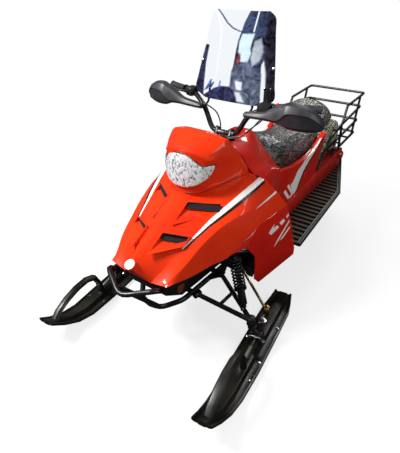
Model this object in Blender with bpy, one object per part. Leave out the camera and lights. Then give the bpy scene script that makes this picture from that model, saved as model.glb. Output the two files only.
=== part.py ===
"""Small one-seat utility snowmobile: red moulded body, black frame, two skis and one rubber belt.

Metres. +Z is up, -Y is forward and +X is the rider's left. The origin is on the ground on the
centre plane, under the belt lug that stands there.
"""

import math

import bmesh
import bpy
from mathutils import Matrix, Vector

# Clearances and sheet thicknesses
SEAT_GAP = 0.0003
SHELL_WALL = 0.005
PAN_WALL = 0.004
TUNNEL_WALL = 0.005

# Steering: the skis stand turned a little to the rider's left, the bar straight
SKI_TURN = math.radians(9.0)
SPINDLE_X = 0.420
SPINDLE_Y = -0.575
BAR_CLAMP = Vector((0.0, -0.202, 0.880))
COLUMN_FOOT = Vector((0.0, -0.415, 0.490))
TIE_ROD_RADIUS = 0.007
ROD_EYE = 0.022
PITMAN_BALL = Vector((0.050, -0.345, 0.452))
SPINDLE_BALL = Vector((0.035, 0.110, 0.150))

# Skis, along their own length from the spindle
SKI_TAIL = -0.390
SKI_TIP = 0.565
SKI_OFFSET = 0.036
SKI_WIDTH = 0.144
SKI_SPINE = 0.026

# Belt and slide suspension
BELT_WIDTH = 0.340
BELT_THICKNESS = 0.012
LUG_HEIGHT = 0.022
LUG_PITCH = 0.064
LUG_LENGTH = 0.020
DRIVE_RADIUS = 0.075
RAIL_TIP_RADIUS = 0.160
RAIL_TIP_Y = -0.040
REAR_IDLER_Y = 0.900
REAR_IDLER_RADIUS = 0.085

# Tunnel and running boards rise gently to the rear
TUNNEL_HALF = 0.215
TUNNEL_FRONT = -0.250
TUNNEL_REAR = 0.930
BOARD_SLOPE = 0.090
BOARD_HEIGHT = 0.294
TUNNEL_TOP_HEIGHT = 0.388
TUNNEL_TOP_SLOPE = 0.115
DRIVE_CENTRE = (-0.130, TUNNEL_TOP_HEIGHT - 0.153)
BOARD_OUTER = 0.398
BOARD_TAPER = 0.035
BOARD_FRONT = -0.050
BOARD_CHAMFER_Y = 0.560
BOARD_THICKNESS = 0.010
TOE_OUTER = 0.318
RIB_PITCH = 0.040
RIB_HEIGHT = 0.008

# Handlebar
BAR_RADIUS = 0.0125
GRIP_RADIUS = 0.017
GRIP_LENGTH = 0.125
COLUMN_RADIUS = 0.014
COLUMN_CLEARANCE = 0.021
CLAMP_CLEARANCE = 0.062

# Seat
SEAT_HALF = 0.160

# Tail
FLAP_THICKNESS = 0.006

# Rear rack
RACK_HALF = 0.200
RACK_REAR = 1.265
RACK_TUBE = 0.0085
RACK_SIDES = 6
RACK_CORNER = 0.024

TUBE_SIDES = 8


def clear_scene():
    for old in list(bpy.data.objects):
        bpy.data.objects.remove(old, do_unlink=True)


def material(name, colour, roughness, metallic=0.0):
    """A Principled material from an sRGB colour given as 0-255 values."""
    made = bpy.data.materials.new(name)
    made.use_nodes = True
    shader = made.node_tree.nodes["Principled BSDF"]
    linear = [((c / 255 + 0.055) / 1.055) ** 2.4 if c > 10 else c / 255 / 12.92 for c in colour]
    shader.inputs["Base Color"].default_value = (*linear, 1)
    shader.inputs["Roughness"].default_value = roughness
    shader.inputs["Metallic"].default_value = metallic
    return made


clear_scene()
RED = material("red_plastic", (224, 38, 18), 0.25)
WHITE = material("white_badge", (240, 240, 240), 0.3)
BLACK_PLASTIC = material("black_plastic", (26, 27, 30), 0.45)
BLACK_STEEL = material("black_steel", (22, 23, 26), 0.35, 0.3)
RUBBER = material("rubber", (24, 24, 25), 0.8)
VINYL = material("seat_vinyl", (34, 34, 36), 0.5)
CLEAR = material("clear_sheet", (170, 185, 205), 0.1)
LAMP = material("lamp_glass", (225, 230, 235), 0.1, 0.4)
ZINC = material("zinc", (180, 178, 170), 0.35, 1.0)
TAIL_RED = material("tail_lens", (200, 20, 20), 0.2)
CAST = material("cast_alloy", (120, 122, 125), 0.5, 0.8)


def mesh_object(name, points, faces, look, parent=None):
    """A node from plain points and faces, with its faces turned outwards."""
    mesh = bpy.data.meshes.new(name)
    mesh.from_pydata([tuple(p) for p in points], [], faces)
    work = bmesh.new()
    work.from_mesh(mesh)
    bmesh.ops.recalc_face_normals(work, faces=work.faces)
    work.to_mesh(mesh)
    work.free()
    made = bpy.data.objects.new(name, mesh)
    made.data.materials.append(look)
    bpy.context.collection.objects.link(made)
    made.parent = parent
    return made


def helper(made):
    """Marks an object as a cutter or joining piece that isn't a node."""
    made.hide_render = True
    made.display_type = "WIRE"
    return made


def boolean(target, tool, operation="DIFFERENCE"):
    change = target.modifiers.new(tool.name, "BOOLEAN")
    change.operation = operation
    change.solver = "EXACT"
    change.use_self = operation == "UNION"
    change.object = helper(tool)
    return target


def loft(rings):
    """Closed solid through rings of equal point count, with flat end caps."""
    points = [p for ring in rings for p in ring]
    count = len(rings[0])
    faces = [tuple(range(count)), tuple(range(len(points) - count, len(points)))]
    for k in range(len(rings) - 1):
        for i in range(count):
            j = (i + 1) % count
            faces.append((k * count + i, k * count + j, (k + 1) * count + j, (k + 1) * count + i))
    return points, faces


def prism(outline, low, high, axis="x"):
    """Closed solid from an outline drawn across one axis, between two places on that axis."""

    def place(a, b, along):
        return {"x": (along, a, b), "y": (a, along, b), "z": (a, b, along)}[axis]

    return loft([[place(a, b, low) for a, b in outline], [place(a, b, high) for a, b in outline]])


def filleted(path, radius, steps=3):
    """The path with each inner corner replaced by a short arc."""
    path = [Vector(p) for p in path]
    out = [path[0]]
    for before, corner, after in zip(path, path[1:], path[2:]):
        back, on = before - corner, after - corner
        cut = min(radius, back.length * 0.45, on.length * 0.45)
        start, end = corner + back.normalized() * cut, corner + on.normalized() * cut
        for k in range(steps + 1):
            t = k / steps
            out.append(start * (1 - t) ** 2 + corner * 2 * t * (1 - t) + end * t**2)
    out.append(path[-1])
    return out


def tube(path, radius, sides=TUBE_SIDES, bend=0.0, steps=3):
    """Closed round tube along a path, mitred at its corners; radius is one value or one for each point."""
    path = filleted(path, bend, steps) if bend else [Vector(p) for p in path]
    radii = radius if isinstance(radius, (list, tuple)) else [radius] * len(path)
    back = (path[1] - path[0]).normalized()
    side = back.orthogonal().normalized()
    rings = []
    for i, point in enumerate(path):
        on = (path[i + 1] - point).normalized() if i + 1 < len(path) else back
        mitre = (back + on).normalized()
        other = back.cross(side)
        ring = []
        for k in range(sides):
            angle = 2 * math.pi * k / sides
            offset = side * math.cos(angle) + other * math.sin(angle)
            offset -= back * (offset.dot(mitre) / back.dot(mitre))
            ring.append(point + offset * radii[i])
        rings.append(ring)
        side = (side - on * side.dot(on)).normalized()
        back = on
    return loft(rings)


def fused(name, shapes, look, parent=None):
    """One node from overlapping closed shapes, joined by an exact union."""
    made = mesh_object(name, *shapes[0], look, parent)
    if len(shapes) > 1:
        points, faces = [], []
        for more, sides in shapes[1:]:
            start = len(points)
            points += list(more)
            faces += [tuple(i + start for i in face) for face in sides]
        boolean(made, mesh_object(name + "_joins", points, faces, look, parent), "UNION")
    return made


def mirrored(shape):
    points, faces = shape
    return [(-p[0], p[1], p[2]) for p in points], faces


def turned(shape, matrix):
    points, faces = shape
    return [matrix @ Vector(p) for p in points], faces


def box(low, high):
    return prism([(low[1], low[2]), (high[1], low[2]), (high[1], high[2]), (low[1], high[2])], low[0], high[0])


def disc(centre, axis, radius, depth, sides=16):
    """A short round bar centred on a point."""
    half = Vector(axis).normalized() * depth / 2
    return tube([Vector(centre) - half, Vector(centre) + half], radius, sides)


def shell(name, points, faces, look, wall, parent=None):
    """Sheet of even thickness below the given outer surface, whose faces already point outwards."""
    mesh = bpy.data.meshes.new(name)
    mesh.from_pydata([tuple(p) for p in points], [], faces)
    made = bpy.data.objects.new(name, mesh)
    made.data.materials.append(look)
    bpy.context.collection.objects.link(made)
    made.parent = parent
    sheet = made.modifiers.new("sheet", "SOLIDIFY")
    sheet.thickness = wall
    sheet.offset = -1
    sheet.use_even_offset = True
    return made


def both_sides(build):
    """Calls a builder for the rider's left (+1) and right (-1)."""
    for side, word in ((1, "left"), (-1, "right")):
        build(side, word)


# Hood: columns are the ridge (y, z), shoulder crease, waist crease and lower edge (x, y, z)
HOOD_STATIONS = [
    ((-0.916, 0.488), (0.077, -0.868, 0.408), (0.120, -0.864, 0.414), (0.173, -0.858, 0.424)),
    ((-0.800, 0.560), (0.138, -0.765, 0.510), (0.192, -0.765, 0.490), (0.208, -0.750, 0.426)),
    ((-0.680, 0.625), (0.172, -0.655, 0.568), (0.232, -0.675, 0.548), (0.243, -0.640, 0.440)),
    ((-0.560, 0.690), (0.205, -0.525, 0.630), (0.275, -0.560, 0.600), (0.281, -0.546, 0.457)),
    ((-0.420, 0.735), (0.243, -0.395, 0.685), (0.308, -0.395, 0.632), (0.325, -0.390, 0.550)),
    ((-0.270, 0.765), (0.280, -0.272, 0.730), (0.305, -0.200, 0.648), (0.337, -0.125, 0.547)),
]


def hood_surface():
    """Outer skin of the hood as rows of seven points from the left lower edge to the right one."""
    rows = []
    for ridge, shoulder, waist, low in HOOD_STATIONS:
        left = [low, waist, shoulder]
        right = [(-x, y, z) for x, y, z in reversed(left)]
        rows.append(left + [(0.0, *ridge)] + right)
    points = [p for row in rows for p in row]
    faces = []
    for k in range(len(rows) - 1):
        for i in range(6):
            a = 7 * k + i
            b, c, d = a + 7, a + 8, a + 1
            faces += [(a, b, c), (a, c, d)] if i < 3 else [(a, b, d), (b, c, d)]
    faces.append((2, 3, 4))
    return points, faces


def hood_form(lift):
    """The hood's outer form as a closed solid, lifted a little, to fit other pieces on it."""
    points, faces = hood_surface()
    last = len(points) - 7
    faces.append((0, 1, 2, 4, 5, 6))
    faces.append(tuple(range(last + 6, last - 1, -1)))
    for a in range(0, last, 7):
        faces.append((a, a + 6, a + 13, a + 7))
    return [(x, y, z + lift) for x, y, z in points], faces


# Hood scoops: inner and outer end of the grille's upper edge on the skin, and the ramp's length
SCOOPS = {
    "upper": (Vector((0.062, -0.578, 0.672)), Vector((0.180, -0.487, 0.657)), 0.120),
    "lower": (Vector((0.050, -0.744, 0.590)), Vector((0.152, -0.690, 0.578)), 0.110),
}
SCOOP_DEPTH = 0.026
OUTER_RAMP = 0.35
GRILLE_THICKNESS = 0.004


def scoop_frame(inner, outer):
    across = (outer - inner).normalized()
    forward = Vector((0.0, -0.870, -0.490))
    up = across.cross(forward).normalized()
    if up.z < 0:
        up = -up
    return across, forward, up


def scoop_wedge(inner, outer, length, margin, top):
    """Ramped pocket: flush in front, deepest at the grille. The margin grows it on its hidden sides."""
    across, forward, up = scoop_frame(inner, outer)
    a, b = inner - across * margin, outer + across * margin
    back = -forward * (margin + GRILLE_THICKNESS)
    front = forward * (length + margin * 2)
    short = forward * (length * OUTER_RAMP + margin * 2)
    deep = -up * (SCOOP_DEPTH + margin)
    lip = -up * margin
    ring_a = [a + back + up * top, a + back + deep, a + deep, a + front + lip, a + front + up * top]
    ring_b = [b + back + up * top, b + back + deep, b + deep, b + short + lip, b + short + up * top]
    return loft([ring_a, ring_b])


def make_hood():
    points, faces = hood_surface()
    hood = shell("hood", points, faces, RED, SHELL_WALL)
    boolean(hood, mesh_object("hood_column_notch", *column_bore(COLUMN_CLEARANCE), RED))
    for side, word in ((1, "left"), (-1, "right")):
        for level, (inner, outer, length) in SCOOPS.items():
            pocket = scoop_wedge(inner, outer, length, SHELL_WALL, -SHELL_WALL / 2)
            cut = scoop_wedge(inner, outer, length, 0.0, 0.020)
            if side < 0:
                pocket, cut = mirrored(pocket), mirrored(cut)
            boolean(hood, mesh_object(f"{level}_{word}_pocket", *pocket, RED), "UNION")
            boolean(hood, mesh_object(f"{level}_{word}_scoop", *cut, RED))
            make_grille(level, word, side, inner, outer)


def make_grille(level, word, side, inner, outer):
    """Black mesh insert standing against the rear wall of its scoop."""
    across, forward, up = scoop_frame(inner, outer)
    a, b = inner + across * SEAT_GAP, outer - across * SEAT_GAP
    back = -forward * (GRILLE_THICKNESS - SEAT_GAP)
    low = -up * (SCOOP_DEPTH - SEAT_GAP)
    high = -up * 0.003
    shape = loft([[a + back + low, a + low, a + high, a + back + high],
                  [b + back + low, b + low, b + high, b + back + high]])
    mesh_object(f"grille_{level}_{word}", *(shape if side > 0 else mirrored(shape)), BLACK_PLASTIC)


# Headlight pod: y of each section, then its half outline (x, z) from the top centre to the bottom
POD_SECTIONS = [
    (-0.545, [(0.0, 0.897), (0.060, 0.889), (0.110, 0.866), (0.156, 0.838), (0.152, 0.790), (0.118, 0.735), (0.070, 0.695), (0.0, 0.675)]),
    (-0.500, [(0.0, 0.925), (0.070, 0.921), (0.135, 0.902), (0.172, 0.850), (0.174, 0.780), (0.150, 0.715), (0.100, 0.670), (0.0, 0.660)]),
    (-0.430, [(0.0, 0.955), (0.080, 0.951), (0.148, 0.930), (0.178, 0.870), (0.188, 0.790), (0.180, 0.710), (0.120, 0.650), (0.0, 0.640)]),
    (-0.360, [(0.0, 0.930), (0.065, 0.926), (0.120, 0.900), (0.165, 0.855), (0.190, 0.785), (0.190, 0.710), (0.120, 0.650), (0.0, 0.640)]),
    (-0.275, [(0.0, 0.868), (0.050, 0.866), (0.095, 0.848), (0.145, 0.815), (0.185, 0.765), (0.205, 0.700), (0.120, 0.650), (0.0, 0.640)]),
]
POD_SWEEP = 3.2
LENS_DEPTH = 0.030
LENS_FRONT = -0.551
# Lens columns: x, lower edge z, upper edge z
LENS_COLUMNS = [
    (0.0, 0.708, 0.884), (0.030, 0.710, 0.881), (0.055, 0.716, 0.870), (0.078, 0.726, 0.852),
    (0.098, 0.740, 0.834), (0.118, 0.761, 0.828), (0.134, 0.790, 0.826), (0.144, 0.820, 0.8255),
]


def swept(x, y, sweep):
    return y + sweep * x * x


def section_ring(y, half, sweep=0.0):
    left = [(x, swept(x, y, sweep), z) for x, z in half]
    right = [(-x, yy, z) for x, yy, z in reversed(left) if x > 1e-6]
    return left + right


def lens_shape(grow, ahead=0.0):
    """Headlight lens, curved back towards its side tips."""
    left = [(x, low - grow, high + grow) for x, low, high in LENS_COLUMNS]
    left[-1] = (left[-1][0] + grow * 2, left[-1][1] - grow, left[-1][2] + grow)
    columns = [(-x, low, high) for x, low, high in reversed(left[1:])] + left
    rings = []
    for x, low, high in columns:
        front = swept(x, LENS_FRONT, POD_SWEEP) - ahead
        back = swept(x, LENS_FRONT, POD_SWEEP) + LENS_DEPTH + grow
        rings.append([(x, front, low), (x, front, high), (x, back, high), (x, back, low)])
    return loft(rings)


def swept_front(points, y, half, sweep):
    """Faces that close the first ring with a front curved back towards both sides."""
    count = 2 * len(half) - 2
    rows = [[0]]
    for i in range(1, len(half) - 1):
        x, z = half[i]
        row = [i]
        for part in (0.6, 0.25, -0.25, -0.6):
            row.append(len(points))
            points.append((x * part, swept(x * part, y, sweep), z))
        rows.append(row + [count - i])
    rows.append([len(half) - 1])
    faces = []
    for above, below in zip(rows, rows[1:]):
        for j in range(5):
            if len(above) == 1:
                faces.append((above[0], below[j], below[j + 1]))
            elif len(below) == 1:
                faces.append((above[j + 1], above[j], below[0]))
            else:
                faces.append((above[j], below[j], below[j + 1], above[j + 1]))
    return faces


def make_pod():
    rings = []
    for k, (y, half) in enumerate(POD_SECTIONS):
        sweep = POD_SWEEP * (1 - k / (len(POD_SECTIONS) - 1))
        rings.append(section_ring(y, half, sweep))
    points, faces = loft(rings)
    faces = faces[1:] + swept_front(points, *POD_SECTIONS[0], POD_SWEEP)
    pod = mesh_object("headlight_pod", points, faces, RED)
    boolean(pod, mesh_object("pod_column_notch", *column_bore(COLUMN_CLEARANCE), RED))
    boolean(pod, mesh_object("lens_pocket", *lens_shape(SEAT_GAP, 0.04), RED))
    boolean(pod, mesh_object("pod_seat", *hood_form(SEAT_GAP * 1.5), RED))
    mesh_object("headlight", *lens_shape(0.0), LAMP)


# Tank cover behind the bar: y, then half outline (x, z) of its outer skin from the top centre down
TANK_SECTIONS = [
    (-0.2685, [(0.0, 0.868), (0.050, 0.866), (0.095, 0.848), (0.145, 0.815), (0.185, 0.765), (0.245, 0.710), (0.262, 0.600)]),
    (-0.150, [(0.0, 0.842), (0.050, 0.842), (0.100, 0.825), (0.150, 0.785), (0.185, 0.742), (0.235, 0.690), (0.252, 0.560)]),
    (-0.030, [(0.0, 0.857), (0.045, 0.853), (0.085, 0.810), (0.125, 0.755), (0.165, 0.705), (0.212, 0.660), (0.225, 0.520)]),
    (0.065, [(0.0, 0.790), (0.045, 0.780), (0.080, 0.740), (0.120, 0.700), (0.165, 0.655), (0.197, 0.628), (0.205, 0.500)]),
]


def make_tank_cover():
    rows = []
    for y, half in TANK_SECTIONS:
        left = [(x, y, z) for x, z in reversed(half)]
        right = [(-x, y, z) for x, z in half[1:]]
        rows.append(left + right)
    count = len(rows[0])
    points = [p for row in rows for p in row]
    faces = []
    for k in range(len(rows) - 1):
        for i in range(count - 1):
            a = count * k + i
            faces.append((a, a + count, a + count + 1, a + 1))
    cover = shell("tank_cover", points, faces, RED, SHELL_WALL)
    boolean(cover, mesh_object("cover_opening", *column_bore(CLAMP_CLEARANCE), RED))


def column_bore(radius):
    """Straight hole round the steering column."""
    along = (BAR_CLAMP - COLUMN_FOOT).normalized()
    return tube([COLUMN_FOOT + along * 0.10, BAR_CLAMP + along * 0.10], radius, 16)


# Lower side panel: outer skin points (x, y, z) on the rider's left
PANEL_POINTS = {
    "nose": (0.281, -0.5455, 0.4565), "top_front": (0.325, -0.3895, 0.5495), "top_rear": (0.337, -0.1245, 0.5465),
    "arch_top": (0.318, -0.476, 0.474), "arch_rear": (0.330, -0.412, 0.392), "front": (0.330, -0.402, 0.335),
    "front_low": (0.330, -0.405, 0.255), "toe": (0.333, -0.362, 0.208), "heel": (0.336, -0.330, 0.207),
    "rear_low": (0.378, -0.072, 0.236), "rear_mid": (0.374, -0.058, 0.268), "rear_up": (0.350, -0.084, 0.440),
    "fold_low": (0.345, -0.300, 0.345), "fold_high": (0.342, -0.240, 0.400),
}
PANEL_FACES = [
    ("nose", "arch_top", "top_front"),
    ("top_front", "arch_top", "arch_rear", "fold_high"),
    ("top_front", "fold_high", "rear_up", "top_rear"),
    ("arch_rear", "front", "fold_low", "fold_high"),
    ("front", "front_low", "toe", "fold_low"),
    ("toe", "heel", "fold_low"),
    ("fold_low", "heel", "rear_low", "rear_mid"),
    ("fold_low", "rear_mid", "rear_up", "fold_high"),
]


def make_side_panel(side, word):
    names = list(PANEL_POINTS)
    points = [(side * x, y, z) for x, y, z in PANEL_POINTS.values()]
    points = [(x, y, z - 0.0005) for x, y, z in points]
    faces = [tuple(names.index(n) for n in face) for face in PANEL_FACES]
    if side < 0:
        faces = [tuple(reversed(face)) for face in faces]
    shell(f"side_panel_{word}", points, faces, RED, SHELL_WALL)


def board_z(y):
    """Top of the running boards' plates."""
    return BOARD_HEIGHT + BOARD_SLOPE * y


def tunnel_z(y):
    """Top of the tunnel."""
    return TUNNEL_TOP_HEIGHT + TUNNEL_TOP_SLOPE * y


def make_tunnel():
    """Inverted channel over the belt, with its front closed."""
    rings = []
    for y in (TUNNEL_FRONT, TUNNEL_REAR):
        low, high = board_z(y) - BOARD_THICKNESS, tunnel_z(y)
        half, inner = TUNNEL_HALF, TUNNEL_HALF - TUNNEL_WALL
        rings.append([
            (half, y, low), (half, y, high), (-half, y, high), (-half, y, low),
            (-inner, y, low), (-inner, y, high - TUNNEL_WALL), (inner, y, high - TUNNEL_WALL), (inner, y, low),
        ])
    tunnel = mesh_object("tunnel", *loft(rings), BLACK_STEEL)
    y, z = DRIVE_CENTRE
    plate = [(TUNNEL_FRONT, z - 0.028), (y + 0.050, z - 0.028), (y + 0.090, board_z(y) + 0.020), (TUNNEL_FRONT, board_z(y) + 0.020)]
    points, faces = prism(plate, inner, half)
    more, _ = mirrored((points, faces))
    faces = faces + [tuple(i + len(points) for i in face) for face in faces]
    boolean(tunnel, mesh_object("tunnel_drive_plates", points + more, faces, BLACK_STEEL), "UNION")


def make_running_board(side, word):
    """Ribbed plate outside the tunnel, its rear outer corner cut off."""
    inner = TUNNEL_HALF + SEAT_GAP
    profile = []
    count = int((TUNNEL_REAR - BOARD_FRONT) / RIB_PITCH)
    for k in range(count):
        y = BOARD_FRONT + k * RIB_PITCH
        top = board_z(y)
        profile += [
            (y, top + RIB_HEIGHT), (y + RIB_PITCH * 0.5, top + RIB_HEIGHT),
            (y + RIB_PITCH * 0.5 + 0.002, top), (y + RIB_PITCH - 0.002, top),
        ]
    end = BOARD_FRONT + count * RIB_PITCH
    profile += [(end, board_z(end)), (end, board_z(end) - BOARD_THICKNESS), (BOARD_FRONT, board_z(BOARD_FRONT) - BOARD_THICKNESS)]
    shape = prism(profile, inner, BOARD_OUTER)
    lip_path = [
        (BOARD_OUTER - 0.004, BOARD_FRONT, board_z(BOARD_FRONT)),
        (BOARD_OUTER - BOARD_TAPER, BOARD_CHAMFER_Y, board_z(BOARD_CHAMFER_Y)),
        (TUNNEL_HALF + 0.012, end - 0.004, board_z(end)),
    ]
    lip = tube(lip_path, 0.010)
    low, high = 0.1, 0.7
    cut = prism([
        (BOARD_OUTER - 0.004, BOARD_FRONT - 0.1), (BOARD_OUTER - 0.004, BOARD_FRONT),
        (BOARD_OUTER - BOARD_TAPER, BOARD_CHAMFER_Y), (TUNNEL_HALF + 0.012, end - 0.004),
        (TUNNEL_HALF + 0.012, end + 0.2), (BOARD_OUTER + 0.1, end + 0.2), (BOARD_OUTER + 0.1, BOARD_FRONT - 0.1),
    ], low, high, "z")
    toe_front, toe_rear = -0.330, BOARD_FRONT + 0.020
    toe = prism([
        (toe_front, board_z(toe_front) - BOARD_THICKNESS), (toe_rear, board_z(toe_rear) - BOARD_THICKNESS * 0.8),
        (toe_rear, board_z(toe_rear) - 0.002), (toe_front, board_z(toe_front) - 0.002),
    ], inner, TOE_OUTER)
    if side < 0:
        shape, lip, cut, toe = mirrored(shape), mirrored(lip), mirrored(cut), mirrored(toe)
    board = mesh_object(f"running_board_{word}", *shape, BLACK_PLASTIC)
    boolean(board, mesh_object(f"board_edge_{word}", *cut, BLACK_PLASTIC))
    boolean(board, mesh_object(f"board_lip_{word}", *lip, BLACK_PLASTIC), "UNION")
    boolean(board, mesh_object(f"board_toe_{word}", *toe, BLACK_PLASTIC), "UNION")


# Seat base: y at the foot and at the wall's top, and the wall's height; its rear end leans back
BASE_SECTIONS = [(0.0655, 0.0655, 0.240), (0.210, 0.220, 0.212), (0.330, 0.360, 0.206), (0.440, 0.500, 0.224), (0.530, 0.645, 0.294)]
SEAT_FLOOR = TUNNEL_TOP_HEIGHT + 0.187


def make_seat_base():
    rings = []
    for foot, y, height in BASE_SECTIONS:
        wall = TUNNEL_TOP_HEIGHT + height
        bottom = tunnel_z(foot) + SEAT_GAP
        well = SEAT_HALF + 0.006
        floor_y = foot + (y - foot) * (SEAT_FLOOR - bottom) / (wall - bottom)
        rings.append([
            (0.205, foot, bottom), (0.197, y, wall), (well, y, wall), (well, floor_y, SEAT_FLOOR),
            (-well, floor_y, SEAT_FLOOR), (-well, y, wall), (-0.197, y, wall), (-0.205, foot, bottom),
        ])
    mesh_object("seat_base", *loft(rings), RED)


# Seat: y, then half outline (x, height over the tunnel's datum) from the top centre to the floor
SEAT_SECTIONS = [
    (0.070, [(0.0, 0.397), (0.050, 0.387), (0.085, 0.347), (0.115, 0.302), (0.118, 0.252), (0.110, 0.212)]),
    (0.130, [(0.0, 0.377), (0.060, 0.367), (0.105, 0.327), (0.138, 0.287), (0.145, 0.242), (0.140, 0.212)]),
    (0.220, [(0.0, 0.337), (0.080, 0.330), (0.130, 0.300), (0.156, 0.267), (0.160, 0.237), (0.158, 0.212)]),
    (0.340, [(0.0, 0.302), (0.090, 0.296), (0.140, 0.267), (0.158, 0.247), (0.160, 0.227), (0.158, 0.202)]),
    (0.500, [(0.0, 0.292), (0.090, 0.286), (0.140, 0.257), (0.158, 0.240), (0.160, 0.222), (0.158, 0.202)]),
    (0.640, [(0.0, 0.304), (0.090, 0.300), (0.138, 0.280), (0.155, 0.262), (0.160, 0.242), (0.158, 0.212)]),
    (0.880, [(0.0, 0.312), (0.090, 0.310), (0.135, 0.297), (0.150, 0.280), (0.155, 0.257), (0.150, 0.232)]),
]


def make_seat():
    rings = []
    for y, heights in SEAT_SECTIONS:
        half = [(x, TUNNEL_TOP_HEIGHT + z) for x, z in heights]
        floor = SEAT_FLOOR + SEAT_GAP if y < 0.55 else SEAT_FLOOR + 0.025
        rings.append(section_ring(y, half + [(half[-1][0] - 0.002, floor), (0.0, floor)]))
    mesh_object("seat", *loft(rings), VINYL)
    seat_top = TUNNEL_TOP_HEIGHT + 0.312 + SEAT_GAP
    outline = [(0.665, 0.0), (0.655, 0.045), (0.672, 0.090), (0.715, 0.118), (0.775, 0.124), (0.835, 0.105), (0.870, 0.065), (0.876, 0.0)]
    rings = []
    for x, shrink in ((-0.150, 0.80), (-0.135, 0.97), (0.0, 1.0), (0.135, 0.97), (0.150, 0.80)):
        rings.append([(x, 0.766 + (y - 0.766) * shrink, seat_top + z * shrink) for y, z in outline])
    mesh_object("backrest", *loft(rings), VINYL)


# Rack loops: front y and height over the tunnel's datum, then rear y and height
RACK_LEVELS = [
    (0.955, 0.387, RACK_REAR, 0.407), (0.800, 0.262, RACK_REAR - 0.035, 0.324),
    (0.680, 0.168, RACK_REAR - 0.060, 0.234), (0.800, 0.106, RACK_REAR - 0.085, 0.150),
]
RACK_SLATS = [(0.850, 0.113), (0.960, 0.124), (1.070, 0.137)]


def make_rack():
    """Basket of round tube behind the seat, on four legs from the tunnel."""
    shapes = []
    low = TUNNEL_TOP_HEIGHT
    for front, front_z, rear, rear_z in RACK_LEVELS:
        loop = [(RACK_HALF, front, low + front_z), (RACK_HALF, rear, low + rear_z)]
        loop += [(-x, y, z) for x, y, z in reversed(loop)]
        shapes.append(tube(loop, RACK_TUBE, RACK_SIDES, bend=RACK_CORNER))
    for side in (1, -1):
        x = side * RACK_HALF
        leg = [(x, 0.955, low + 0.387), (x, 0.900, low + 0.262), (x, 0.735, low + 0.247), (x, 0.575, tunnel_z(0.575) + RACK_TUBE)]
        shapes.append(tube(leg, RACK_TUBE, RACK_SIDES, bend=0.04, steps=2))
        shapes.append(tube([(x, 0.900, low + 0.262), (x, 0.900, tunnel_z(0.9) + 0.0015)], RACK_TUBE, RACK_SIDES))
        shapes.append(tube([(x, 1.130, low + 0.147), (x, 1.190, low + 0.401)], RACK_TUBE * 0.9, RACK_SIDES))
        shapes.append(tube([(x, 0.680, low + 0.168), (x, 0.800, low + 0.106)], RACK_TUBE * 0.9, RACK_SIDES))
    for y, z in RACK_SLATS:
        shapes.append(tube([(-RACK_HALF, y, low + z), (RACK_HALF, y, low + z)], RACK_TUBE * 0.8, RACK_SIDES))
    fused("rear_rack", shapes, BLACK_STEEL)


def make_tail():
    near, far, high, low = TUNNEL_REAR + SEAT_GAP, TUNNEL_REAR + 0.100, tunnel_z(TUNNEL_REAR) - 0.001, 0.200
    flap = prism([(near, high), (near + FLAP_THICKNESS, high), (far + FLAP_THICKNESS, low), (far, low), (near, high - 0.080)], -TUNNEL_HALF, TUNNEL_HALF)
    mesh_object("snow_flap", *flap, RUBBER)
    both_sides(make_tail_light)


def make_tail_light(side, word):
    centre = (side * (TUNNEL_HALF + SEAT_GAP + 0.010), 0.900, tunnel_z(0.900) - 0.0365)
    mesh_object(f"tail_light_{word}", *disc(centre, (1, 0, 0), 0.024, 0.020), TAIL_RED)


def belt_line(grow=0.0):
    """Belt centre line as the outline of its wheels, as evenly spaced (point, outward) pairs."""
    low = LUG_HEIGHT + BELT_THICKNESS / 2
    circles = [
        (DRIVE_CENTRE[0], DRIVE_CENTRE[1], DRIVE_RADIUS),
        (RAIL_TIP_Y, low + RAIL_TIP_RADIUS, RAIL_TIP_RADIUS),
        (REAR_IDLER_Y, low + REAR_IDLER_RADIUS, REAR_IDLER_RADIUS),
    ]
    cloud = []
    for y, z, radius in circles:
        for k in range(180):
            angle = math.radians(2 * k)
            cloud.append((y + (radius + grow) * math.cos(angle), z + (radius + grow) * math.sin(angle)))
    hull = outline_of(cloud)
    start = min(range(len(hull)), key=lambda i: (abs(hull[i][1] - low + grow) > 1e-4, hull[i][0]))
    return hull[start:] + hull[:start]


def outline_of(cloud):
    """Convex outline of flat points, counter-clockwise."""
    cloud = sorted(set(cloud))

    def half(points):
        out = []
        for p in points:
            while len(out) > 1 and cross(out[-2], out[-1], p) <= 0:
                out.pop()
            out.append(p)
        return out[:-1]

    return half(cloud) + half(cloud[::-1])


def cross(a, b, c):
    return (b[0] - a[0]) * (c[1] - a[1]) - (b[1] - a[1]) * (c[0] - a[0])


def walk(line, distance):
    """Point and outward direction at a distance along a closed outline."""
    total = sum(math.dist(a, b) for a, b in zip(line, line[1:] + line[:1]))
    distance %= total
    for a, b in zip(line, line[1:] + line[:1]):
        step = math.dist(a, b)
        if distance <= step:
            t = distance / step
            out = Vector((b[1] - a[1], a[0] - b[0])) / step
            return Vector((a[0] + (b[0] - a[0]) * t, a[1] + (b[1] - a[1]) * t)), out
        distance -= step
    return Vector(line[0]), Vector((0, -1))


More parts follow.
